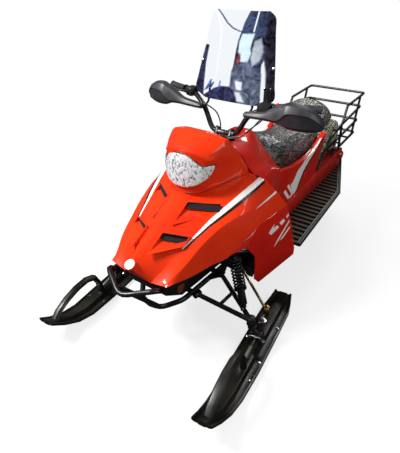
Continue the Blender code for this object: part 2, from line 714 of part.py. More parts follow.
def make_belt():
    """Closed rubber belt with a bar lug every pitch, one of them standing on the origin."""
    line = belt_line()
    total = sum(math.dist(a, b) for a, b in zip(line, line[1:] + line[:1]))
    count = round(total / LUG_PITCH)
    pitch = total / count
    origin = -line[0][0]
    half = BELT_THICKNESS / 2
    base, tip = LUG_LENGTH * 0.7, LUG_LENGTH * 0.5
    profile = [(-pitch / 2, half), (-base, half), (-tip, half + LUG_HEIGHT), (tip, half + LUG_HEIGHT), (base, half),
               (-pitch / 2, -half), (0.0, -half)]
    per = len(profile)
    flat = []
    for k in range(count):
        for shift, height in profile:
            point, out = walk(line, origin + k * pitch + shift)
            flat.append(point + out * height)
    points = [(side * BELT_WIDTH / 2, *p) for side in (1, -1) for p in flat]
    n = len(flat)
    faces = []
    for k in range(count):
        a = per * k
        b = (a + per) % n
        tread, inside = [a, a + 1, a + 2, a + 3, a + 4, b], [a + 5, a + 6, b + 5]
        corners = tread + inside[::-1]
        faces.append(tuple(corners))
        faces.append(tuple(n + c for c in reversed(corners)))
        for line_of_points in (tread, inside):
            for p, q in zip(line_of_points, line_of_points[1:]):
                faces.append((p, n + p, n + q, q))
    mesh_object("track", points, faces, RUBBER)


def wheel_radius(radius):
    """Largest wheel that fits inside the belt's flat-sided bend round it."""
    return (radius - BELT_THICKNESS / 2) * math.cos(LUG_PITCH / 4 / radius) - 2 * SEAT_GAP


def make_slide_rails():
    """Two slide rails with cross shafts, carrier wheels and the rear idlers, all on one frame."""
    low = LUG_HEIGHT + BELT_THICKNESS + SEAT_GAP
    shapes = []
    for x in (-0.095, 0.095):
        rail = [(RAIL_TIP_Y + 0.015, low), (REAR_IDLER_Y - 0.02, low), (REAR_IDLER_Y - 0.02, low + 0.05), (RAIL_TIP_Y + 0.015, low + 0.05)]
        tip = [(RAIL_TIP_Y + 0.017, low), (RAIL_TIP_Y + 0.017, low + 0.05), (-0.120, low + 0.085), (-0.110, low + 0.045), (-0.075, low + 0.012)]
        shapes.append(prism(rail, x - 0.008, x + 0.008))
        shapes.append(prism(tip, x - 0.0079, x + 0.0079))
    wheel = wheel_radius(REAR_IDLER_RADIUS)
    axle_z = LUG_HEIGHT + BELT_THICKNESS / 2 + REAR_IDLER_RADIUS
    for x in (-0.130, 0.130):
        shapes.append(disc((x, REAR_IDLER_Y, axle_z), (1, 0, 0), wheel, 0.022, 20))
    shapes.append(disc((0, REAR_IDLER_Y, axle_z), (1, 0, 0), 0.011, 0.300, 8))
    for x in (-0.095, 0.095):
        shapes.append(prism([(REAR_IDLER_Y - 0.06, low + 0.03), (REAR_IDLER_Y + 0.02, axle_z - 0.015), (REAR_IDLER_Y + 0.02, axle_z + 0.015), (REAR_IDLER_Y - 0.08, low + 0.045)], x - 0.0075, x + 0.0075))
    for y, z in ((0.150, low + 0.03), (0.550, low + 0.03)):
        shapes.append(disc((0, y, z), (1, 0, 0), 0.010, 0.230, 8))
    wall = TUNNEL_HALF - TUNNEL_WALL - SEAT_GAP
    for foot_y, y, z in ((0.150, 0.330, 0.205), (0.550, 0.700, 0.165)):
        for x in (-0.060, 0.060):
            shapes.append(tube([(x, foot_y, low + 0.03), (x, y, z)], 0.010))
        shapes.append(disc((0, y, z), (1, 0, 0), 0.011, 2 * wall - 0.004, 8))
        hanger = [(y - 0.022, z - 0.018), (y + 0.022, z - 0.018), (y + 0.045, board_z(y) + 0.040), (y - 0.045, board_z(y) + 0.030)]
        for side in (1, -1):
            shapes.append(prism(hanger, side * (wall - 0.008), side * wall))
    fused("slide_rails", shapes, BLACK_STEEL)


def make_drive_axle():
    reach = 2 * (TUNNEL_HALF - TUNNEL_WALL - SEAT_GAP)
    wheel = wheel_radius(DRIVE_RADIUS)
    shapes = [disc((0, *DRIVE_CENTRE), (1, 0, 0), 0.014, reach, 10)]
    for x in (-0.09, 0.09):
        shapes.append(disc((x, *DRIVE_CENTRE), (1, 0, 0), wheel, 0.030, 18))
    fused("drive_axle", shapes, BLACK_STEEL)


# Belly pan: y, top z, bottom z, top half width, bottom half width
PAN_FLOOR = 0.2447
PAN_SECTIONS = [
    (-0.850, 0.398, 0.372, 0.085, 0.070),
    (-0.800, 0.415, 0.300, 0.150, 0.100),
    (-0.700, 0.418, PAN_FLOOR, 0.195, 0.112),
    (-0.550, 0.430, PAN_FLOOR, 0.225, 0.114),
    (-0.268, 0.430, PAN_FLOOR, 0.230, 0.114),
]


def make_belly_pan():
    points = []
    for y, top, bottom, wide, narrow in PAN_SECTIONS:
        points += [(wide, y, top), (narrow, y, bottom), (-narrow, y, bottom), (-wide, y, top)]
    faces = [(3, 2, 1, 0)]
    for k in range(len(PAN_SECTIONS) - 1):
        for i in range(3):
            a = 4 * k + i
            faces.append((a, a + 1, a + 5, a + 4))
    pan = shell("belly_pan", points, faces, BLACK_PLASTIC, PAN_WALL)
    notch = prism([(-0.465, 0.295), (-0.325, 0.295), (-0.325, 0.500), (-0.465, 0.500)], 0.140, 0.300)
    boolean(pan, mesh_object("rod_notch_left", *notch, BLACK_PLASTIC))
    boolean(pan, mesh_object("rod_notch_right", *mirrored(notch), BLACK_PLASTIC))


def make_engine():
    floor = PAN_FLOOR + PAN_WALL + SEAT_GAP
    shapes = [box((-0.100, -0.680, floor), (0.100, -0.450, 0.430)), box((-0.108, -0.460, floor), (0.108, -0.290, 0.330))]
    fused("engine", shapes, CAST)


A_ARM_OUTER = Vector((SPINDLE_X, SPINDLE_Y, 0.158))
A_ARM_BOSS = 0.040
A_ARM_FRONT = Vector((0.1560, -0.640, 0.232))
A_ARM_REAR = Vector((0.1560, -0.440, 0.232))
SHOCK_TOP = Vector((0.285, -0.527, 0.440))
SHOCK_FOOT = Vector((0.3650, -0.5489, 0.1925))
FRAME_TUBE = 0.013
BUMPER_RADIUS = 0.0125
BUMPER_CORNER = Vector((0.150, -0.902, 0.421))
BUMPER_TIP = Vector((0.0, -0.985, 0.378))
POST_X = 0.052
COLUMN_PAD = 0.012
TOWER_X = 0.2565


def make_front_frame():
    """Tubular cradle under the belly pan, with shock towers and arm pivots."""
    z = 0.232
    rail = [(0.0, -0.805, 0.205), (0.060, -0.795, 0.208), (0.128, -0.715, z), (0.128, -0.255, z)]
    shapes = [tube(rail, FRAME_TUBE, bend=0.03), tube(mirrored((rail, []))[0], FRAME_TUBE, bend=0.03)]
    for y in (-0.640, -0.440):
        shapes.append(tube([(-0.135, y, z), (0.135, y, z)], FRAME_TUBE * 0.95))
    bulkhead = TUNNEL_FRONT - SEAT_GAP
    shapes.append(box((-TUNNEL_HALF, bulkhead - 0.010, 0.222), (TUNNEL_HALF, bulkhead, tunnel_z(TUNNEL_FRONT))))
    for side in (1, -1):
        tower = [(side * 0.125, -0.500, z - 0.004), (side * 0.205, -0.505, 0.290), (side * TOWER_X, -0.522, 0.450)]
        shapes.append(tube(tower, FRAME_TUBE, bend=0.04))
        hoop = [(side * TOWER_X, -0.520, 0.445), (side * 0.310, -0.450, 0.440), (side * 0.300, -0.360, 0.400), (side * 0.245, -0.330, 0.330), (side * 0.128, -0.330, z)]
        shapes.append(tube(hoop, FRAME_TUBE * 0.9, bend=0.05))
        rest = BUMPER_TIP.lerp(BUMPER_CORNER, POST_X / BUMPER_CORNER.x)
        foot, top = Vector((side * POST_X, -0.797, 0.210)), Vector((side * rest.x, rest.y, rest.z))
        shapes.append(tube([foot, top], FRAME_TUBE * 0.9))
    column = (BAR_CLAMP - COLUMN_FOOT).normalized()
    pad = COLUMN_FOOT - column * (COLUMN_PAD / 2 + SEAT_GAP)
    shapes.append(tube([(-TOWER_X, -0.521, 0.450), (TOWER_X, -0.521, 0.450)], FRAME_TUBE * 0.9))
    shapes.append(tube([(0.0, -0.521, 0.450), pad - column * 0.002], FRAME_TUBE * 0.8))
    shapes.append(disc(pad, column, 0.022, COLUMN_PAD, 10))
    frame = fused("front_frame", shapes, BLACK_STEEL)
    boolean(frame, mesh_object("bumper_seat", *bumper_tube(SEAT_GAP * 1.3), BLACK_STEEL))


def bumper_tube(grow):
    """Bent tube ahead of the nose, a shallow V seen from above."""
    half = [(0.122, -0.850, 0.374), BUMPER_CORNER]
    path = half + [BUMPER_TIP] + [(-x, y, z) for x, y, z in reversed(half)]
    return tube(path, BUMPER_RADIUS + grow, bend=0.04)


def make_bumper():
    mesh_object("front_bumper", *bumper_tube(0.0), BLACK_STEEL)


def make_suspension(side, word):
    """Lower A-arm and spring damper of one side."""

    def at(v):
        return Vector((side * v[0], v[1], v[2]))

    front_end, rear_end = at(A_ARM_FRONT), at(A_ARM_REAR)
    outer = at(A_ARM_OUTER)
    shapes = [
        tube([front_end, outer], 0.012), tube([rear_end, outer], 0.012),
        tube([front_end.lerp(outer, 0.42), rear_end.lerp(outer, 0.42)], 0.009),
        disc(front_end, (0, 1, 0), 0.015, 0.040, 10), disc(rear_end, (0, 1, 0), 0.015, 0.040, 10),
        disc(outer, (0, 0, 1), 0.021, A_ARM_BOSS, 12),
    ]
    fused(f"a_arm_{word}", shapes, BLACK_STEEL)
    top, foot = at(SHOCK_TOP), at(SHOCK_FOOT)
    path, radii = [top], [0.018]
    turns = 7
    for k in range(turns * 2 + 1):
        t = 0.06 + 0.52 * k / (turns * 2)
        path.append(top.lerp(foot, t))
        radii.append(0.029 if k % 2 else 0.023)
    for t, r in ((0.60, 0.019), (0.93, 0.019), (0.94, 0.013), (1.0, 0.013)):
        path.append(top.lerp(foot, t))
        radii.append(r)
    mesh_object(f"shock_{word}", *tube(path, radii, 12), BLACK_PLASTIC)


def ski_space(side):
    """Matrix from a ski's own frame (x across, y forward from the spindle, z up) to the part."""
    turn = Matrix.Rotation(SKI_TURN, 4, "Z")
    return Matrix.Translation((side * SPINDLE_X, SPINDLE_Y, 0)) @ turn @ Matrix.Rotation(math.pi, 4, "Z")


# Ski: distance ahead of the spindle, half width, underside height, spine height
SKI_STATIONS = [
    (SKI_TAIL, 0.046, 0.034, 0.004), (-0.345, 0.058, 0.010, 0.016), (-0.280, 0.070, 0.000, SKI_SPINE),
    (-0.100, SKI_WIDTH / 2, 0.000, SKI_SPINE), (0.150, SKI_WIDTH / 2, 0.000, SKI_SPINE), (0.320, 0.066, 0.004, SKI_SPINE),
    (0.420, 0.060, 0.030, 0.022), (0.500, 0.052, 0.074, 0.016), (SKI_TIP, 0.044, 0.122, 0.010),
]


SKI_HANDLE = [
    (0.528, 0.098), (0.485, 0.140), (0.420, 0.167), (0.345, 0.183), (0.270, 0.184), (0.215, 0.164), (0.183, 0.105), (0.175, 0.030),
]


def make_ski(side, word, pivot):
    shift = -side * SKI_OFFSET
    rings = []
    for along, half, low, spine in SKI_STATIONS:
        foot = min(0.032, half - 0.022)
        profile = [
            (0.012, 0.0), (0.018, 0.005), (half - 0.012, 0.005), (half, 0.012), (half, 0.026), (half - 0.008, 0.027),
            (half - 0.012, 0.018), (foot, 0.018), (foot * 0.75, 0.018 + spine),
        ]
        half_ring = [(x, along, low + z) for x, z in profile]
        ring = half_ring + [(-x, y, z) for x, y, z in reversed(half_ring)]
        rings.append([(x + shift, y, z) for x, y, z in ring])
    space = pivot.matrix_world.inverted() @ ski_space(side)
    ski = mesh_object(f"ski_{word}", *turned(loft(rings), space), BLACK_PLASTIC, pivot)
    handle = tube([(0, y, z) for y, z in SKI_HANDLE], 0.014, 6)
    wide = [(p[0] * 1.6 + shift, p[1], p[2]) for p in handle[0]]
    boolean(ski, mesh_object(f"ski_handle_{word}", *turned((wide, handle[1]), space), BLACK_PLASTIC, pivot), "UNION")


def make_spindle(side, word, pivot):
    space = pivot.matrix_world.inverted() @ ski_space(side)
    top = 0.018 + SKI_SPINE + SEAT_GAP
    foot = -side * SKI_OFFSET
    post_top = A_ARM_OUTER.z - A_ARM_BOSS / 2 - SEAT_GAP
    post = [(foot, 0, top + 0.040), (foot, 0, top + 0.048), (0, 0, post_top - 0.020), (0, 0, post_top)]
    shapes = [
        box((foot - 0.022, -0.060, top), (foot + 0.022, 0.060, top + 0.008)),
        box((foot - 0.026, -0.024, top + 0.004), (foot - 0.014, 0.024, top + 0.062)),
        box((foot + 0.014, -0.024, top + 0.004), (foot + 0.026, 0.024, top + 0.062)),
        disc((foot, 0, top + 0.040), (1, 0, 0), 0.010, 0.072, 8),
        disc((foot, 0, top + 0.040), (1, 0, 0), 0.016, 0.030, 10),
        tube(post, 0.0135, 10),
    ]
    boss = SPINDLE_BALL.z - ROD_EYE / 2 - SEAT_GAP - 0.009
    ball = Vector((-side * SPINDLE_BALL.x, -SPINDLE_BALL.y, boss))
    arm = [Vector((0, -0.004, 0.112)), Vector((-side * 0.012, -0.050, 0.112)), ball]
    shapes.append(tube(arm, 0.0085, 6, bend=0.03))
    shapes.append(disc(ball, (0, 0, 1), 0.014, 0.018, 10))
    shapes = [turned(s, space) for s in shapes]
    fused(f"spindle_{word}", shapes, BLACK_STEEL, pivot)


def make_tie_rod(side, word, rod_pivot):
    """Rod from the spindle's ball joint towards the column's arm, ending just short of it."""
    start = rod_pivot.matrix_world.translation
    end = Vector((side * PITMAN_BALL.x, PITMAN_BALL.y, PITMAN_BALL.z))
    line = end - start
    reach = line.length - 0.030
    path = [start, start + line.normalized() * reach]
    to_local = rod_pivot.matrix_world.inverted()
    shapes = [turned(tube(path, TIE_ROD_RADIUS), to_local), turned(disc(start, (0, 0, 1), 0.014, ROD_EYE, 12), to_local)]
    fused(f"tie_rod_{word}", shapes, ZINC, rod_pivot)


def make_steering_side(side, word):
    pivot = bpy.data.objects.new(f"ski_pivot_{word}", None)
    bpy.context.collection.objects.link(pivot)
    pivot.location = (side * SPINDLE_X, SPINDLE_Y, 0)
    bpy.context.view_layer.update()
    make_ski(side, word, pivot)
    make_spindle(side, word, pivot)
    ball = ski_space(side) @ Vector((-side * SPINDLE_BALL.x, -SPINDLE_BALL.y, SPINDLE_BALL.z))
    rod_pivot = bpy.data.objects.new(f"tie_rod_pivot_{word}", None)
    bpy.context.collection.objects.link(rod_pivot)
    rod_pivot.location = ball
    bpy.context.view_layer.update()
    make_tie_rod(side, word, rod_pivot)


# Half of the handlebar from the clamp outwards: x, y, z
BAR_PATH = [(0.0, -0.202, 0.880), (0.070, -0.202, 0.880), (0.125, -0.190, 0.985), (0.230, -0.135, 1.030), (0.425, -0.070, 1.028)]
GUARD_SECTIONS = [
    (0.125, -0.225, 0.985, 0.014), (0.185, -0.232, 1.010, 0.018), (0.240, -0.236, 1.022, 0.030),
    (0.330, -0.236, 1.026, 0.052), (0.400, -0.225, 1.024, 0.058), (0.470, -0.205, 1.012, 0.050), (0.515, -0.180, 1.002, 0.024),
]


def bar_tube(grow):
    right = [(-x, y, z) for x, y, z in BAR_PATH[1:]]
    return tube(list(reversed(right)) + BAR_PATH, BAR_RADIUS + grow, bend=0.04)


def make_handlebar(pivot):
    to_local = pivot.matrix_world.inverted()
    column = [COLUMN_FOOT, BAR_CLAMP - (BAR_CLAMP - COLUMN_FOOT).normalized() * 0.022]
    shapes = [bar_tube(0.0), tube(column, COLUMN_RADIUS, 10)]
    axis = (BAR_CLAMP - COLUMN_FOOT).normalized()
    for x in (-0.040, 0.040):
        clamp = BAR_CLAMP + Vector((x, 0, 0))
        shapes.append(tube([clamp - axis * 0.045, clamp + axis * 0.020], 0.015, 8))
    shapes.append(tube([BAR_CLAMP + Vector((-0.045, 0, 0)) - axis * 0.040, BAR_CLAMP + Vector((0.045, 0, 0)) - axis * 0.040], 0.013, 8))
    for x in (-1, 1):
        ball = Vector((x * PITMAN_BALL.x, PITMAN_BALL.y, PITMAN_BALL.z + 0.012))
        shapes.append(tube([COLUMN_FOOT + axis * 0.012, ball], 0.009, 6))
        shapes.append(disc(ball, axis, 0.013, 0.014, 8))
    shapes = [turned(s, to_local) for s in shapes]
    fused("handlebar", shapes, BLACK_STEEL, pivot)


def make_grip(side, word, pivot):
    to_local = pivot.matrix_world.inverted()
    end = Vector(BAR_PATH[-1]) * 1.0
    start = end + (Vector(BAR_PATH[-2]) - end).normalized() * GRIP_LENGTH
    outer = end + (end - start).normalized() * 0.004
    shape = tube([start, start.lerp(end, 0.03), end, outer], [0.022, GRIP_RADIUS, GRIP_RADIUS, 0.020], 12)
    bore = tube([start - (end - start) * 0.1, end + (end - start).normalized() * SEAT_GAP], BAR_RADIUS * 1.09 + SEAT_GAP, TUBE_SIDES)
    if side < 0:
        shape, bore = mirrored(shape), mirrored(bore)
    grip = mesh_object(f"grip_{word}", *turned(shape, to_local), RUBBER, pivot)
    boolean(grip, mesh_object(f"grip_bore_{word}", *turned(bore, to_local), RUBBER, pivot))


def make_handguard(side, word, pivot):
    """Moulded guard in front of each grip, a swept blade with a bulged middle."""
    to_local = pivot.matrix_world.inverted()
    rings = []
    for x, y, z, half in GUARD_SECTIONS:
        bulge = 0.006 + half * 0.35
        rings.append([
            (x, y - bulge, z), (x, y - bulge * 0.6, z + half * 0.7), (x, y + 0.010, z + half), (x, y + 0.016, z + half * 0.9),
            (x, y + 0.004, z), (x, y + 0.016, z - half * 0.9), (x, y + 0.010, z - half), (x, y - bulge * 0.6, z - half * 0.7),
        ])
    shape = loft(rings)
    if side < 0:
        shape = mirrored(shape)
    x, y, z = BAR_PATH[2]
    arm = tube([(side * (x + 0.016), y - 0.036, z + 0.006), (side * (x + 0.010), y, z + 0.002)], 0.008, 6)
    guard = mesh_object(f"handguard_{word}", *turned(shape, to_local), BLACK_PLASTIC, pivot)
    boolean(guard, mesh_object(f"guard_arm_{word}", *turned(arm, to_local), BLACK_PLASTIC, pivot), "UNION")
    boolean(guard, mesh_object(f"guard_seat_{word}", *turned(bar_tube(SEAT_GAP * 1.3), to_local), BLACK_PLASTIC, pivot))


# Windshield: z, y of the middle panel, half width of the flat middle, outer edge x and y
SCREEN_ROWS = [
    (1.024, -0.172, 0.135, 0.164, -0.154), (1.052, -0.164, 0.145, 0.221, -0.135), (1.120, -0.148, 0.140, 0.213, -0.121),
    (1.234, -0.122, 0.130, 0.194, -0.097), (1.330, -0.101, 0.118, 0.177, -0.077), (1.384, -0.089, 0.110, 0.167, -0.066),
    (1.409, -0.083, 0.090, 0.137, -0.063),
]
SCREEN_WALL = 0.003


def make_windshield(pivot):
    to_local = pivot.matrix_world.inverted()
    points, faces = [], []
    for z, y, middle, edge, edge_y in SCREEN_ROWS:
        row = [(-edge, edge_y, z), (-middle, y, z), (0, y - 0.008, z), (middle, y, z), (edge, edge_y, z)]
        points += [to_local @ Vector(p) for p in row]
    for k in range(len(SCREEN_ROWS) - 1):
        for i in range(4):
            a = 5 * k + i
            faces.append((a, a + 1, a + 6, a + 5))
    shell("windshield", points, faces, CLEAR, SCREEN_WALL, pivot)


def make_screen_bracket(side, word, pivot):
    to_local = pivot.matrix_world.inverted()
    x = side * 0.125
    shape = tube([(x, -0.184, 0.992), (x, -0.162, 1.003), (x, -0.1535, 1.034), (x, -0.1446, 1.098)], 0.006, 6, bend=0.008)
    bracket = mesh_object(f"screen_bracket_{word}", *turned(shape, to_local), BLACK_STEEL, pivot)
    boolean(bracket, mesh_object(f"bracket_seat_{word}", *turned(bar_tube(SEAT_GAP * 1.3), to_local), BLACK_STEEL, pivot))


def make_brake_master(pivot):
    to_local = pivot.matrix_world.inverted()
    shapes = [box((0.178, -0.208, 1.014), (0.236, -0.154, 1.046)), tube([(0.205, -0.185, 1.030), (0.270, -0.190, 1.020), (0.400, -0.160, 1.022)], 0.005, 6)]
    master = fused("brake_master", [turned(s, to_local) for s in shapes], BLACK_PLASTIC, pivot)
    boolean(master, mesh_object("master_seat", *turned(bar_tube(SEAT_GAP * 1.3), to_local), BLACK_PLASTIC, pivot))


def make_bar_parts():
    pivot = bpy.data.objects.new("bar_pivot", None)
    bpy.context.collection.objects.link(pivot)
    pivot.location = BAR_CLAMP
    bpy.context.view_layer.update()
    make_handlebar(pivot)
    make_windshield(pivot)
    make_brake_master(pivot)
    for side, word in ((1, "left"), (-1, "right")):
        make_grip(side, word, pivot)
        make_handguard(side, word, pivot)
        make_screen_bracket(side, word, pivot)


def make_nose_disc():
    """Plain round badge, cut to sit on the hood's ridge."""
    centre = Vector((0.0, -0.896, 0.499))
    normal = Vector((0.0, -0.600, 0.800))
    badge = mesh_object("nose_disc", *disc(centre, normal, 0.020, 0.022, 20), WHITE)
    boolean(badge, mesh_object("badge_seat", *hood_form(SEAT_GAP * 1.5), WHITE))


make_hood()
make_nose_disc()
make_pod()
make_tank_cover()
both_sides(make_side_panel)
make_seat_base()
make_seat()
make_tunnel()
both_sides(make_running_board)
make_rack()
make_tail()
make_belt()
make_slide_rails()
make_drive_axle()
make_belly_pan()
make_engine()
make_front_frame()
make_bumper()
both_sides(make_suspension)
both_sides(make_steering_side)
make_bar_parts()
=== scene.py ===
# A small utility snowmobile: red moulded body, black tube frame, wrapped vinyl seat, plastic skis.
import math

import bmesh
import bpy
from mathutils import Matrix, Vector
from mathutils.bvhtree import BVHTree


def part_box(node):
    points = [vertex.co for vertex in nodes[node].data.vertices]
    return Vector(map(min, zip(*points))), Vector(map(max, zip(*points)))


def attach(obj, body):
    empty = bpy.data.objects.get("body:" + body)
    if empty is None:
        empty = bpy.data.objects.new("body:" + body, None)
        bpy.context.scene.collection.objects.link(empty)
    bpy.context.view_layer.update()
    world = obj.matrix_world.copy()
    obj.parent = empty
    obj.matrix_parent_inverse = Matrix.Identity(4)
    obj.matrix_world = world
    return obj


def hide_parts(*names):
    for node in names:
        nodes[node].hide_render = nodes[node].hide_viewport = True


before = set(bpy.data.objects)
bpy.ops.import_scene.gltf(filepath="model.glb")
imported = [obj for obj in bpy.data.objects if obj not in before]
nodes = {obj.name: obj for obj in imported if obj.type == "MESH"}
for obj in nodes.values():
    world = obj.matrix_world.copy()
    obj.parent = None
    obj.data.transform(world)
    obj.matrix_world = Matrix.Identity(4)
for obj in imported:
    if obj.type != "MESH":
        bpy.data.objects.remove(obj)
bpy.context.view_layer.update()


# Camera. The photograph looks down on the front left corner, at 37 degrees from straight ahead.
# A 36 mm high sensor keeps the frame the same for any width of picture.
CAMERA_PLACE = Vector((1.152, -1.923, 1.590))
CAMERA_AZIMUTH = math.radians(37.23)
CAMERA_DIP = math.radians(31.12)
CAMERA_ROLL = math.radians(-0.67)
CAMERA_LENS = 34.67
SENSOR_HEIGHT = 36.0
PICTURE = (400, 453)

forward = Vector((
    -math.sin(CAMERA_AZIMUTH) * math.cos(CAMERA_DIP),
    math.cos(CAMERA_AZIMUTH) * math.cos(CAMERA_DIP),
    -math.sin(CAMERA_DIP),
))
level_right = forward.cross(Vector((0, 0, 1))).normalized()
level_up = level_right.cross(forward)
right = math.cos(CAMERA_ROLL) * level_right + math.sin(CAMERA_ROLL) * level_up
up = math.cos(CAMERA_ROLL) * level_up - math.sin(CAMERA_ROLL) * level_right
camera_data = bpy.data.cameras.new("photo_camera")
camera_data.sensor_fit = "VERTICAL"
camera_data.sensor_height = SENSOR_HEIGHT
camera_data.lens = CAMERA_LENS
camera_data.clip_end = 60
camera = bpy.data.objects.new("photo_camera", camera_data)
bpy.context.collection.objects.link(camera)
camera.matrix_world = Matrix((
    (right.x, up.x, -forward.x, CAMERA_PLACE.x),
    (right.y, up.y, -forward.y, CAMERA_PLACE.y),
    (right.z, up.z, -forward.z, CAMERA_PLACE.z),
    (0, 0, 0, 1),
))
bpy.context.scene.camera = camera


# Floor and light. A plain white studio floor, a strong soft box in front on the right, weak ones on
# the left and behind, and a dim even room round them, so that the near side lies in soft shade.
FLOOR_SIZE = 16.0
FLOOR_SHADOWED = 0.7
FLOOR_BLANK = 1.9
FLOOR_WHITENESS = 0.74
ROOM_LEVEL = 0.34
ROOM_MIRRORED = 0.07
SOFT_BOXES = {
    "key_box": {"place": (-1.9, -2.35, 3.4), "size": 1.1, "watts": 250},
    "side_box": {"place": (2.8, -0.6, 2.2), "size": 1.6, "watts": 26},
    "back_box": {"place": (-0.4, 3.0, 3.2), "size": 1.0, "watts": 50},
}
LIGHT_AIM = Vector((0.0, 0.0, 0.45))


def linear(text):
    """An sRGB hex colour as linear red, green, blue and full opacity."""
    parts = [int(text[i : i + 2], 16) / 255 for i in (0, 2, 4)]
    return [p / 12.92 if p <= 0.04045 else ((p + 0.055) / 1.055) ** 2.4 for p in parts] + [1.0]


def add(tree, kind, settings, links=(), stops=()):
    """Adds a node, sets its sockets and properties, joins its inputs and colours a ramp's stops."""
    made = tree.nodes.new("ShaderNode" + kind)
    for name, value in settings.items():
        if isinstance(name, int) or name in made.inputs:
            made.inputs[name].default_value = value
        else:
            setattr(made, name, value)
    for name, source in dict(links).items():
        tree.links.new(source, made.inputs[name])
    if stops:
        knots = made.color_ramp.elements
        knots[0].position, knots[0].color = stops[0][0], linear(stops[0][1])
        knots[1].position, knots[1].color = stops[-1][0], linear(stops[-1][1])
        for position, colour in stops[1:-1]:
            knots.new(position).color = linear(colour)
    return made


# The room is white to the camera and behind clear sheet, dim as a light, and dimmer still in gloss.
world = bpy.data.worlds.new("white_room")
bpy.context.scene.world = world
world.use_nodes = True
world_tree = world.node_tree
world_tree.nodes.clear()
world_rays = add(world_tree, "LightPath", {})
seen = add(world_tree, "Math", {"operation": "MAXIMUM"}, {
    0: world_rays.outputs["Is Camera Ray"], 1: world_rays.outputs["Is Transmission Ray"]})
room_light = add(world_tree, "MapRange", {"To Min": ROOM_LEVEL, "To Max": ROOM_MIRRORED}, {
    "Value": world_rays.outputs["Is Glossy Ray"]})
room = add(world_tree, "Background", {"Color": linear("ffffff")},
           {"Strength": room_light.outputs["Result"]})
white = add(world_tree, "Background", {"Color": linear("ffffff"), "Strength": 1.0})
world_mix = add(world_tree, "MixShader", {}, {
    0: seen.outputs[0], 1: room.outputs[0], 2: white.outputs[0]})
add(world_tree, "OutputWorld", {}, {"Surface": world_mix.outputs[0]})

bpy.ops.object.select_all(action="DESELECT")
bpy.ops.mesh.primitive_plane_add(size=FLOOR_SIZE, location=(0, 0, 0))
floor = bpy.context.object
floor.name = "studio_floor"
# Matt paint shows no gloss, only the machine's soft shadow, and fades to blank white further out.
floor_paint = bpy.data.materials.new("matt floor paint")
floor_paint.use_nodes = True
floor_tree = floor_paint.node_tree
floor_tree.nodes.clear()
floor_rays = add(floor_tree, "LightPath", {})
floor_place = add(floor_tree, "NewGeometry", {})
floor_tone = add(floor_tree, "Mix", {"data_type": "RGBA"}, {0: floor_rays.outputs["Is Camera Ray"]})
floor_tone.inputs[7].default_value = linear("fbfbfb")
floor_bounce = add(floor_tree, "Mix", {"data_type": "RGBA"}, {0: floor_rays.outputs["Is Glossy Ray"]})
floor_bounce.inputs[6].default_value = linear("6c6c6c")
floor_bounce.inputs[7].default_value = linear("2c2c2c")
floor_tree.links.new(floor_bounce.outputs[2], floor_tone.inputs[6])
floor_matt = add(floor_tree, "BsdfDiffuse", {}, {"Color": floor_tone.outputs[2]})
floor_white = add(floor_tree, "Emission", {"Color": linear("ffffff"), "Strength": 1.0})
floor_far = add(floor_tree, "VectorMath", {"operation": "LENGTH"}, {0: floor_place.outputs["Position"]})
floor_edge = add(floor_tree, "MapRange", {
    "From Min": FLOOR_SHADOWED, "From Max": FLOOR_BLANK, "To Min": FLOOR_WHITENESS, "To Max": 1.0}, {
    "Value": floor_far.outputs["Value"]})
floor_seen = add(floor_tree, "Math", {"operation": "MULTIPLY"}, {
    0: floor_rays.outputs["Is Camera Ray"], 1: floor_edge.outputs["Result"]})
floor_mix = add(floor_tree, "MixShader", {}, {
    0: floor_seen.outputs[0], 1: floor_matt.outputs[0], 2: floor_white.outputs[0]})
add(floor_tree, "OutputMaterial", {}, {"Surface": floor_mix.outputs[0]})
floor.data.materials.append(floor_paint)

for box_name, box_facts in SOFT_BOXES.items():
    lamp = bpy.data.lights.new(box_name, "AREA")
    lamp.shape = "SQUARE"
    lamp.size = box_facts["size"]
    lamp.energy = box_facts["watts"]
    lamp_object = bpy.data.objects.new(box_name, lamp)
    lamp_object.location = box_facts["place"]
    aim = LIGHT_AIM - lamp_object.location
    lamp_object.rotation_euler = aim.to_track_quat("-Z", "Y").to_euler()
    bpy.context.collection.objects.link(lamp_object)
bpy.context.scene.view_settings.view_transform = "Standard"


# Hood. One thermoformed ABS skin from the nose to the pod, creased along the ridge, the shoulders
# and the waist. Four ramped scoops are pressed into it, each with a mesh insert at its rear wall.
RED = "e8330a"
HOOD_WALL = 0.005
# Ridge (y, z), shoulder crease, waist crease and lower edge (x, y, z) of each section from the nose
HOOD_SECTIONS = [
    ((-0.916, 0.488), (0.077, -0.868, 0.408), (0.150, -0.862, 0.4185), (0.168, -0.859, 0.4235)),
    ((-0.800, 0.560), (0.138, -0.765, 0.510), (0.192, -0.765, 0.490), (0.208, -0.750, 0.426)),
    ((-0.680, 0.625), (0.172, -0.655, 0.568), (0.211, -0.675, 0.548), (0.243, -0.640, 0.440)),
    ((-0.560, 0.690), (0.205, -0.525, 0.630), (0.241, -0.560, 0.600), (0.281, -0.546, 0.457)),
    ((-0.420, 0.735), (0.243, -0.395, 0.685), (0.289, -0.395, 0.632), (0.325, -0.390, 0.550)),
    ((-0.270, 0.765), (0.280, -0.272, 0.730), (0.305, -0.200, 0.648), (0.337, -0.125, 0.547)),
]
# Inner and outer end of each mesh insert's upper edge, and the length of the ramp before it
SCOOPS = {
    "upper": (Vector((0.062, -0.578, 0.672)), Vector((0.180, -0.487, 0.657)), 0.120),
    "lower": (Vector((0.050, -0.744, 0.590)), Vector((0.152, -0.690, 0.578)), 0.110),
}
SCOOP_DEPTH = 0.026
SCOOP_AHEAD = Vector((0.0, -0.870, -0.490))
HOOD_CROWNS = {"flank": 0.003, "side": 0.001, "top": 0.0015}
# Columns of the first section between the two shoulders, which one face closes at the nose
NOSE_COLUMNS = range(7, 20)


